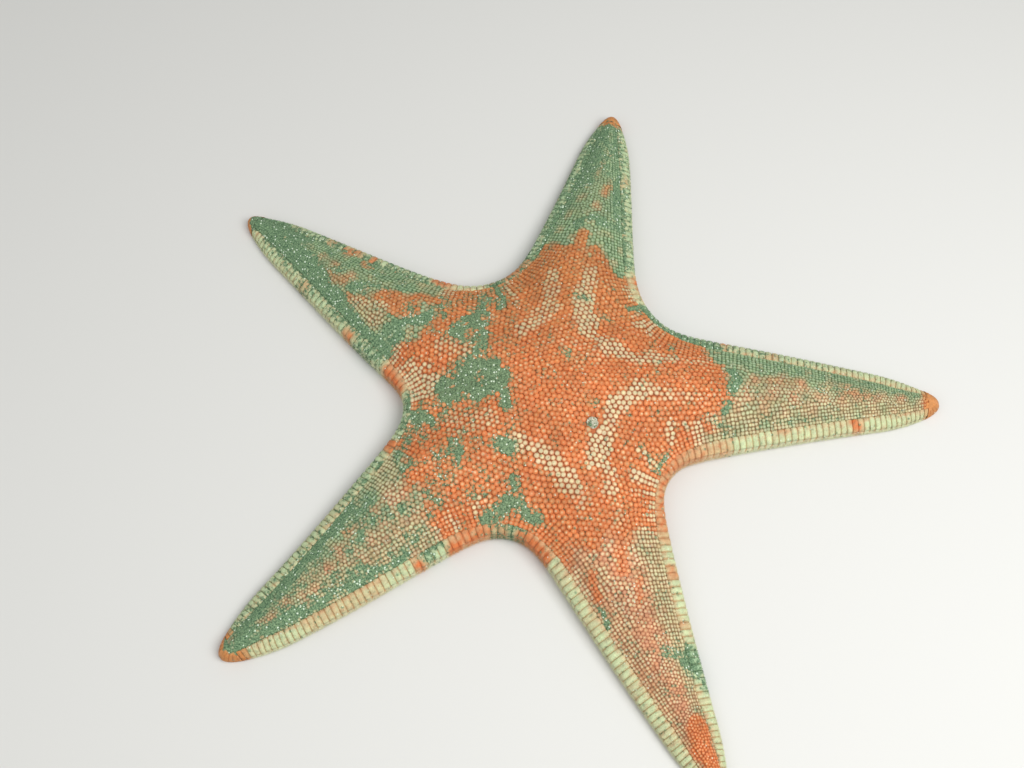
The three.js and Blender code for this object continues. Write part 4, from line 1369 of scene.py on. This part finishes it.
TIP_PITCH = 1.75  # of the small plates round a tip
TERMINAL_HALF = 1.6  # half the run of the outline that the terminal plate itself takes
TIP_SPAN = 97  # points round the outline of a tip
TIP_END = 0.06  # how far the outline stops before the end of the arm
TIP_GROOVE = 0.4  # how far the grooves between the small plates cut in from the side
# From the middle of a tip out to its edge and down to the floor: share of the way, share of the height.
TIP_SECTION = np.array([
    (0, 1), (0.16, 1.0), (0.32, 0.98), (0.46, 0.93), (0.58, 0.87), (0.7, 0.78), (0.8, 0.67), (0.88, 0.55),
    (0.95, 0.4), (0.99, 0.27), (1, 0.16), (0.98, 0.07), (0.94, 0.02), (0.88, 0),
])
# How much of the way in from its edge each tip is orange, and how much silt lies inside that.
TIP_LOOK = {"b": (1.2, 0.1), "a": (1.0, 0.35), "e": (0.5, 1.0), "d": (0.66, 0.9), "c": (1.2, 0.1)}


def tip_outline(index):
    """The outline of a tip, its distance along from the end of the arm, and the y of its middle."""
    reach = TERMINAL_LENGTH - TIP_END
    x = ARMS[index].length - TIP_END - reach * np.linspace(1, 0, 400) ** 1.5
    left, right = (MARGINS[index, side].edge(x) for side in (1, -1))
    outline = np.concatenate([np.stack([x, left], axis=-1), np.stack([x, -right], axis=-1)[::-1]])
    run = run_along(outline)
    at = np.linspace(0, run[-1], TIP_SPAN)
    rim = np.stack([np.interp(at, run, outline[:, axis]) for axis in (0, 1)], axis=-1)
    return rim, np.abs(at - run[-1] / 2), (left[0] - right[0]) / 2


def tip_tone(arm, points, share, groove, middle):
    """Orange round the edge, olive and silt inside it, deeper in the grooves, and a red eyespot."""
    plan = points[:, :2]
    orange_in, silt_in = TIP_LOOK[arm.name]
    inside = 1 - smoothstep(share + 0.06 * ripple(plan, 2.5, 22), 0.95 - orange_in, 1.15 - orange_in)
    colour = blend(TIP_ORANGE, LIGHT_ORANGE, np.clip(0.3 * ripple(plan, 3, 23), 0, 0.5))
    colour = blend(colour, OLIVE, inside)
    colour = blend(colour, BURNT_ORANGE, 0.75 * (groove * smoothstep(share, 0.3, 0.6)))
    spot = np.linalg.norm(points - [arm.length - 0.3, middle, 1.0], axis=1)
    return blend(colour, EYESPOT, 1 - smoothstep(spot, 0.4, 0.8)), np.clip(silt_in * inside, 0.05, 1)


def tip_plate(index):
    """The domed end of an arm, with grooves between the small plates round its edge."""
    arm = ARMS[index]
    end_x = arm.length - TERMINAL_LENGTH
    rim, off, middle = tip_outline(index)
    inner = np.stack([np.full(TIP_SPAN, end_x), middle + 0.5 * (rim[:, 1] - middle)], axis=-1)
    phase = np.where(off < TERMINAL_HALF, 0.5, (off - TERMINAL_HALF) / TIP_PITCH % 1)
    groove = np.clip(1 - np.abs(phase - np.round(phase)) / 0.16, 0, 1) ** 1.5
    off_axis = np.abs(rim[:, 1] - middle) / np.abs(rim[0, 1] - middle)
    tall = lerp(SHOULDER_AT_TIP + 0.3, TERMINAL_HEIGHT - 0.1, 1 - off_axis ** 2)
    share, level = TIP_SECTION[:, :1], TIP_SECTION[:, 1:]
    cut = TIP_GROOVE * groove[None] * smoothstep(share, 0.25, 0.6) * (level > 0.05)
    outward = unit(rim - [end_x, middle])[None]
    plan = lerp(inner[None], rim[None], share[..., None]) - 0.5 * cut[..., None] * outward
    points = np.concatenate([plan, (level * tall[None] - cut * 0.8)[..., None]], axis=-1)
    points[..., 0] = np.maximum(points[..., 0], end_x)
    points[..., 2] = np.maximum(points[..., 2], 0)
    shape = points.shape[:2]
    grid = np.arange(shape[0] * shape[1]).reshape(shape)
    top = np.stack([grid[:-1, :-1], grid[:-1, 1:], grid[1:, 1:], grid[1:, :-1]], axis=-1).reshape(-1, 4)
    back_wall = np.concatenate([grid[:, 0][::-1], grid[0, 1:-1], grid[:, -1]])[None]
    polygons = [top, back_wall, grid[-1][None, ::-1]]
    points = points.reshape(-1, 3)
    points[:, 2] += 0.05 * ripple(points[:, :2], 1.1, 11) * (points[:, 2] > 0.6)
    share, groove = (np.broadcast_to(values, shape).ravel() for values in (share, groove))
    colour, silt = tip_tone(arm, points, share, groove, middle)
    add_piece(f"tip_plate_{arm.name}", turn(points, arm.azimuth), polygons, PLATES,
              [f"terminal_plate_{arm.name}"], colour, silt)


for index in range(5):
    tip_plate(index)

# ---- Spinelets along the lower edge --------------------------------------------------------

SPINELET = lathe_template([(0, 4.2, 0, 0), (0.5, 3.8, 0, 0), (0.95, 1.8, 0, 0), (0.85, -0.8, 0, 0)], 6)
SPINELET_ROWS = ((0.32, -0.35), (0.55, 0.05), (0.8, 0.45))  # share of the plates' height, upward lean
SPINELET_SPACING = 0.52
SPINELET_INSET = 0.72


def spinelet_roots(index):
    """The roots and directions of an arm's spinelets, in three rows along both margins."""
    spots, outward = [], []
    for side in (1, -1):
        samples = runs[index, side][0]
        run = run_along(samples.point)
        for level, lean in SPINELET_ROWS:
            at = np.arange(0.2, run[-1], SPINELET_SPACING)
            at = at + random.uniform(-0.1, 0.1, len(at))
            stations = MARGINS[index, side].at(np.interp(at, run, samples.x))
            high = stations.shoulder - SUPERO_DROP - GAP
            spots.append(inset(stations, SPINELET_INSET, level * high))
            tilt = np.full((len(at), 1), lean) + random.uniform(-0.12, 0.12, (len(at), 1))
            outward.append(np.concatenate([stations.normal, tilt], axis=1))
    azimuth = ARMS[index].azimuth
    return turn(np.concatenate(spots), azimuth), turn(unit(np.concatenate(outward)), azimuth)


for index, arm in enumerate(ARMS):
    spots, outward = spinelet_roots(index)
    planted = plant(SPINELET, spots, outward, random.uniform(0.15, 0.19, len(spots)), lowest=0.02)
    x, y, _ = turn(spots, -arm.azimuth).T
    tip = tip_share(arm, x)
    orange = np.clip(streaks(spots[:, :2], ORANGE_MARGINS), 0, 1)
    colour = blend(PLATE_CREAM, PALE, 1 - smoothstep(planted.down, 0.3, 0.9))
    colour = blend(colour, TIP_ORANGE, np.clip(0.75 * orange + tip, 0, 1)[planted.copy_of])
    silt = (streaks(spots[:, :2], SILT_MARGINS, softness=2.4) * 0.55 * (1 - tip))[planted.copy_of]
    add_piece(f"edge_spinelets_{arm.name}", planted.points, planted.polygons, PLATES,
              colour=colour, silt=silt, uv=patch_uv(planted, x, y))

# ---- Madreporite ---------------------------------------------------------------------------

SIEVE_RINGS, SIEVE_CORNERS = 14, 72
SIEVE_FOLDS = 15


def madreporite():
    """A low dome with winding folds, and a skirt that reaches down into the skin."""
    ring = np.linspace(0, 1, SIEVE_RINGS + 1)[1:, None]
    around = np.arange(SIEVE_CORNERS)[None] * 2 * math.pi / SIEVE_CORNERS
    swirl = around + 0.35 * np.sin(3 * around + 4 * ring)
    folds = np.cos(SIEVE_FOLDS * swirl + 3.0 * ring ** 2)
    rise = 0.55 * (1 - ring ** 2.6) + 0.11 * folds * smoothstep(ring, 0.12, 0.4)
    wide = MADREPORITE_RADIUS * ring
    dome = np.stack([wide * np.cos(around), wide * np.sin(around), rise], axis=-1).reshape(-1, 3)
    skirt = dome[-SIEVE_CORNERS:] * [0.96, 0.96, 0] + [0, 0, -0.9]
    flat = np.concatenate([[[0, 0, 0.58]], dome, skirt])
    height, normal, _ = drop_on_surface(sieve_centre[None, :2])
    side_way = unit(np.cross(normal[0], [0, 1, 0]))
    other_way = np.cross(normal[0], side_way)
    origin = np.array([sieve_centre[0], sieve_centre[1], height[0]])
    points = origin + flat[:, :1] * side_way + flat[:, 1:2] * other_way + flat[:, 2:] * normal[0]
    bottom = np.arange(len(flat) - SIEVE_CORNERS, len(flat))[::-1][None]
    polygons = [*ring_faces(SIEVE_RINGS + 1, SIEVE_CORNERS), bottom]
    # Painted shade: darker in the grooves between the folds and on the skirt down in the skin.
    deep = np.concatenate([[0.2], np.clip(0.5 - 0.5 * folds, 0, 1).ravel(), np.ones(SIEVE_CORNERS)])
    add_piece("sieve_plate", points, polygons, STONE, ["madreporite"],
              blend(STONE_PALE, STONE_SHADE, deep), np.full(len(points), 0.26))


madreporite()

# ---- Oral side -----------------------------------------------------------------------------

ORAL_TUFT = lathe_template(
    [(0, 0.8, 0, 0), (0.5, 0.72, 0, 0.25), (0.95, 0.25, 0, 0.12), (0.75, -0.4, 0, 0)], 10, 5)
SPINE = lathe_template([(0, 6.4, 0, 0), (0.55, 5.9, 0, 0), (0.95, 2.6, 0, 0), (0.85, -1, 0, 0)], 6)
TUBE_FOOT = lathe_template(
    [(0, 3.6, 0, 0), (0.7, 3.72, 0, 0), (1.0, 3.5, 0, 0), (0.82, 3.15, 0, 0), (0.62, 2.8, 0, 0),
     (0.7, 1.8, 0, 0), (0.8, 0.8, 0, 0), (0.9, -0.6, 0, 0)], 10)
FURROW_ROWS = ((0.25, 0.75), (1.05, 0.25))  # distance from the furrow, lean over it
FURROW_PITCH = 1.05
FOOT_PITCH = 2.3
TUFT_SPACING = 2.1


def tuft_colour(planted):
    return blend(PALE, TUFT_ROOT, smoothstep(planted.down, 0.35, 0.9))


def spine_colour(planted):
    return blend(PALE, SPINE_ROOT, smoothstep(planted.down, 0.4, 1))


def oral_places():
    """Where the tufts of the oral side grow, evenly apart and clear of the furrows and the mouth."""
    darts = random.uniform(PLAN_LOW, PLAN_HIGH, (60000, 2))
    darts = darts[drop_on_surface(darts)[2]]
    in_furrow = groove_height(darts, spread=1.5) > 0
    darts = darts[~in_furrow & (np.hypot(darts[:, 0], darts[:, 1]) > MOUTH_RADIUS + 1.5)]
    chosen = thin(darts, np.full(len(darts), 1.62))
    for _ in range(10):
        away, apart = neighbours(chosen, 6)
        push = np.clip(TUFT_SPACING - apart, 0, None) / np.maximum(apart, 1e-6)
        distance, outward = from_margin(chosen)
        move = 0.2 * (away * push[..., None]).sum(axis=1)
        move -= outward * np.clip(0.9 - distance, 0, 1)[:, None]
        chosen = chosen + np.clip(move, -0.25, 0.25)
    return chosen[groove_height(chosen, spread=1.0) == 0]


oral = oral_places()
oral_arm, oral_local = local(oral)


def oral_tufts(index):
    """An arm's tufts, as a part of its coat."""
    rows = np.flatnonzero(oral_arm == index)
    roots = np.concatenate([oral[rows], np.full((len(rows), 1), ORAL_DEPTH)], axis=1)
    lean = np.concatenate([random.uniform(-0.12, 0.12, (len(rows), 2)), -np.ones((len(rows), 1))], axis=1)
    tufts = plant(ORAL_TUFT, roots, unit(lean), random.uniform(0.74, 0.9, len(rows)), lowest=0.02)
    return tufts, tuft_colour(tufts), np.zeros(len(tufts.points)), patch_uv(tufts, *oral_local[rows].T)


def furrow_spines(arm, side, off, lean_in):
    """A row of spines beside an arm's furrow, as a part of its coat."""
    x = np.arange(MOUTH_RADIUS + 1.5, arm.length - TERMINAL_LENGTH - 1, FURROW_PITCH)
    x = x + random.uniform(-0.15, 0.15, len(x))
    y = axis_offset(arm, x) + side * (groove_half_width(arm, x) + off)
    spots = np.stack([x, y, np.full_like(x, 1.15)], axis=-1)
    sway = random.uniform(-0.2, 0.2, len(x))
    aim = unit(np.stack([sway, np.full_like(x, -side * lean_in), np.full_like(x, -0.62)], axis=-1))
    sizes = random.uniform(0.19, 0.23, len(x))
    spines = plant(SPINE, turn(spots, arm.azimuth), turn(aim, arm.azimuth), sizes, lowest=0.04)
    return spines, spine_colour(spines), np.zeros(len(spines.points)), patch_uv(spines, x, y)


def tube_feet(arm):
    """The two rows of tube feet in an arm's furrow, each with a sucker at its end."""
    spots, aims, sizes = [], [], []
    for side in (1, -1):
        x = np.arange(MOUTH_RADIUS + 2.2, arm.length - TERMINAL_LENGTH - 2, FOOT_PITCH)
        x = x + (0.6 if side > 0 else 0)
        half = groove_half_width(arm, x)
        size = 0.3 * half
        y = axis_offset(arm, x) + side * 0.42 * half
        root = np.minimum(0.75 * groove_depth(arm, x), 0.5 + 3.75 * size)
        spots.append(np.stack([x, y, root], axis=-1))
        sway = random.uniform(-0.12, 0.12, len(x))
        aims.append(np.stack([sway, np.full_like(x, 0.1 * side), -np.ones_like(x)], axis=-1))
        sizes.append(size)
    spots, aims = turn(np.concatenate(spots), arm.azimuth), turn(unit(np.concatenate(aims)), arm.azimuth)
    feet = plant(TUBE_FOOT, spots, aims, np.concatenate(sizes), lowest=0.3)
    colour = blend(FOOT_PALE, FOOT_DEEP, smoothstep(feet.down, 0.3, 0.9))
    add_piece(f"feet_{arm.name}", feet.points, feet.polygons, FEET, [f"tube_feet_{arm.name}"],
              colour, np.zeros(len(feet.points)))


for index, arm in enumerate(ARMS):
    parts = [oral_tufts(index)]
    parts += [furrow_spines(arm, side, *row) for side in (1, -1) for row in FURROW_ROWS]
    add_coat(f"oral_spines_{arm.name}", parts, PLATES)
    tube_feet(arm)

# ---- Jaws ----------------------------------------------------------------------------------

JAW_STEPS = 240  # round the mouth
JAW_LOW = 0.5  # height of the jaws' lower side
JAW_SUTURE = 0.6  # depth of the sutures between the jaws
# Across a jaw, from the mouth out and up: share of its width, share of its height.
JAW_SECTION = np.array([
    (0, 0.55), (0.04, 0.2), (0.14, 0.0), (0.5, 0.0), (0.86, 0.05), (1, 0.25), (1, 1), (0, 1),
])
# Where the granules of the jaws sit: in 48ths of the way between two arms, and at shares of a jaw's width.
JAW_GRANULES = ((13, 18, 30, 35), (0.3, 0.55, 0.8))


def around_mouth(radius, angle, height):
    """Points at a radius, an angle and a height."""
    height = np.broadcast_to(height, np.broadcast_shapes(radius.shape, angle.shape))
    return np.stack([radius * np.cos(angle), radius * np.sin(angle), height], axis=-1)


def jaws():
    """A ring of ten rounded plates with sutures between them round the mouth, granules on them and
    oral spines on their inner edges."""
    around = np.linspace(0, 360, JAW_STEPS + 1)[:-1]
    azimuths = np.array([arm.azimuth for arm in ARMS] + [ARMS[0].azimuth + 360])
    share = np.interp((around - azimuths[0]) % 360 + azimuths[0], azimuths, np.arange(6)) % 1
    opening = JAW_GAPE + JAW_REACH * np.cos(2 * math.pi * share)
    lobe = JAW_SUTURE * np.abs(np.sin(2 * math.pi * share)) ** 0.5
    angle = np.radians(around)
    wide, level = JAW_SECTION.T
    radii = opening[:, None] + (MOUTH_RADIUS - opening)[:, None] * wide
    height = JAW_LOW + (MOUTH_TOP - JAW_LOW) * level + (JAW_SUTURE - lobe)[:, None] * (level < 0.5)
    points = around_mouth(radii, angle[:, None], height).reshape(-1, 3)
    size = len(JAW_SECTION)
    ring = (np.arange(JAW_STEPS) * size)[:, None]
    following = np.roll(ring, -1, axis=0)
    corner = np.arange(size)
    after = (corner + 1) % size
    quads = np.stack([ring + corner, following + corner, following + after, ring + after], axis=-1)

    bearing = np.flatnonzero((np.abs(share - 0.5) < 0.3) & (np.arange(JAW_STEPS) % 3 == 0))
    seats = around_mouth(opening[bearing] + 0.5, angle[bearing], 1.0)
    aim = unit(around_mouth(-np.ones(len(bearing)), angle[bearing], -0.35))
    spines = plant(SPINE, seats, aim, np.full(len(bearing), 0.26), lowest=0.05)

    places_round, part_way = JAW_GRANULES
    seat = np.flatnonzero(np.isin(np.round(share * 48) % 48, places_round))
    seat, part_way = (values.ravel() for values in np.meshgrid(seat, part_way))
    radius = opening[seat] + (MOUTH_RADIUS - opening[seat]) * part_way
    roots = around_mouth(radius, angle[seat], 0.62 - 0.1 * part_way)
    down_way = np.tile([0.0, 0.0, -1.0], (len(seat), 1))
    tufts = plant(ORAL_TUFT, roots, down_way, random.uniform(0.42, 0.55, len(seat)), lowest=0.05)

    seam = np.repeat((1 - lobe / JAW_SUTURE) ** 1.5, size)
    # Painted shade: the jaws darken up into the mouth; they are also darker along the sutures between them.
    deep = np.maximum(smoothstep(points[:, 2], 1.2, 3.5), 0.85 * seam)
    colour = np.concatenate([blend(JAW_PALE, JAW_DEEP, deep), spine_colour(spines), tuft_colour(tufts)])
    points, polygons = join([(points, [quads.reshape(-1, 4)]), (spines.points, spines.polygons),
                             (tufts.points, tufts.polygons)])
    add_piece("jaws", points, polygons, PLATES, ["mouth"], colour, np.zeros(len(points)))


jaws()

# ---- Floor, light and camera ---------------------------------------------------------------

FLOOR_REACH = 3.0
FLOOR_DROP = -0.0002


def add_floor():
    """A pale floor just under the star."""
    mesh = bpy.data.meshes.new("floor")
    signs = ((-1, -1), (1, -1), (1, 1), (-1, 1))
    corners = [(x * FLOOR_REACH, y * FLOOR_REACH, FLOOR_DROP) for x, y in signs]
    mesh.from_pydata(corners, [], [(0, 1, 2, 3)])
    material = bpy.data.materials.new("pale_floor")
    material.use_nodes = True
    shader = material.node_tree.nodes["Principled BSDF"]
    shader.inputs["Base Color"].default_value = (*FLOOR, 1)
    shader.inputs["Roughness"].default_value = 0.85
    mesh.materials.append(material)
    floor = bpy.data.objects.new("floor", mesh)
    bpy.context.scene.collection.objects.link(floor)


def area_light(name, place, target, size, energy):
    data = bpy.data.lights.new(name, "AREA")
    data.shape = "DISK"
    data.size = size
    data.energy = energy
    light = bpy.data.objects.new(name, data)
    light.location = place
    light.rotation_euler = (Vector(target) - Vector(place)).to_track_quat("-Z", "Y").to_euler()
    bpy.context.scene.collection.objects.link(light)


add_floor()
area_light("key", (0.3, -0.18, 0.58), (0.02, -0.01, 0), 0.5, 3.9)
area_light("fill", (-0.46, -0.24, 0.74), (0, 0, 0), 0.9, 1.8)
world = bpy.data.worlds.new("studio")
world.use_nodes = True
background = world.node_tree.nodes["Background"]
background.inputs["Color"].default_value = (1, 1, 1, 1)
background.inputs["Strength"].default_value = 0.44
bpy.context.scene.world = world
bpy.context.scene.view_settings.view_transform = "Standard"

CAMERA_DISTANCE = 426.75
CAMERA_ELEVATION = math.radians(64.8)
CAMERA_TARGET = np.array([-13.05, 10.05, 0])
camera_data = bpy.data.cameras.new("camera")
camera_data.lens = 38.67
camera_data.sensor_width = 36
camera = bpy.data.objects.new("camera", camera_data)
back = np.array([0, -math.cos(CAMERA_ELEVATION), math.sin(CAMERA_ELEVATION)])
camera.location = (CAMERA_TARGET + CAMERA_DISTANCE * back) * MM + CENTRE
camera.rotation_euler = (math.pi / 2 - CAMERA_ELEVATION, 0, 0)
bpy.context.scene.collection.objects.link(camera)
bpy.context.scene.camera = camera
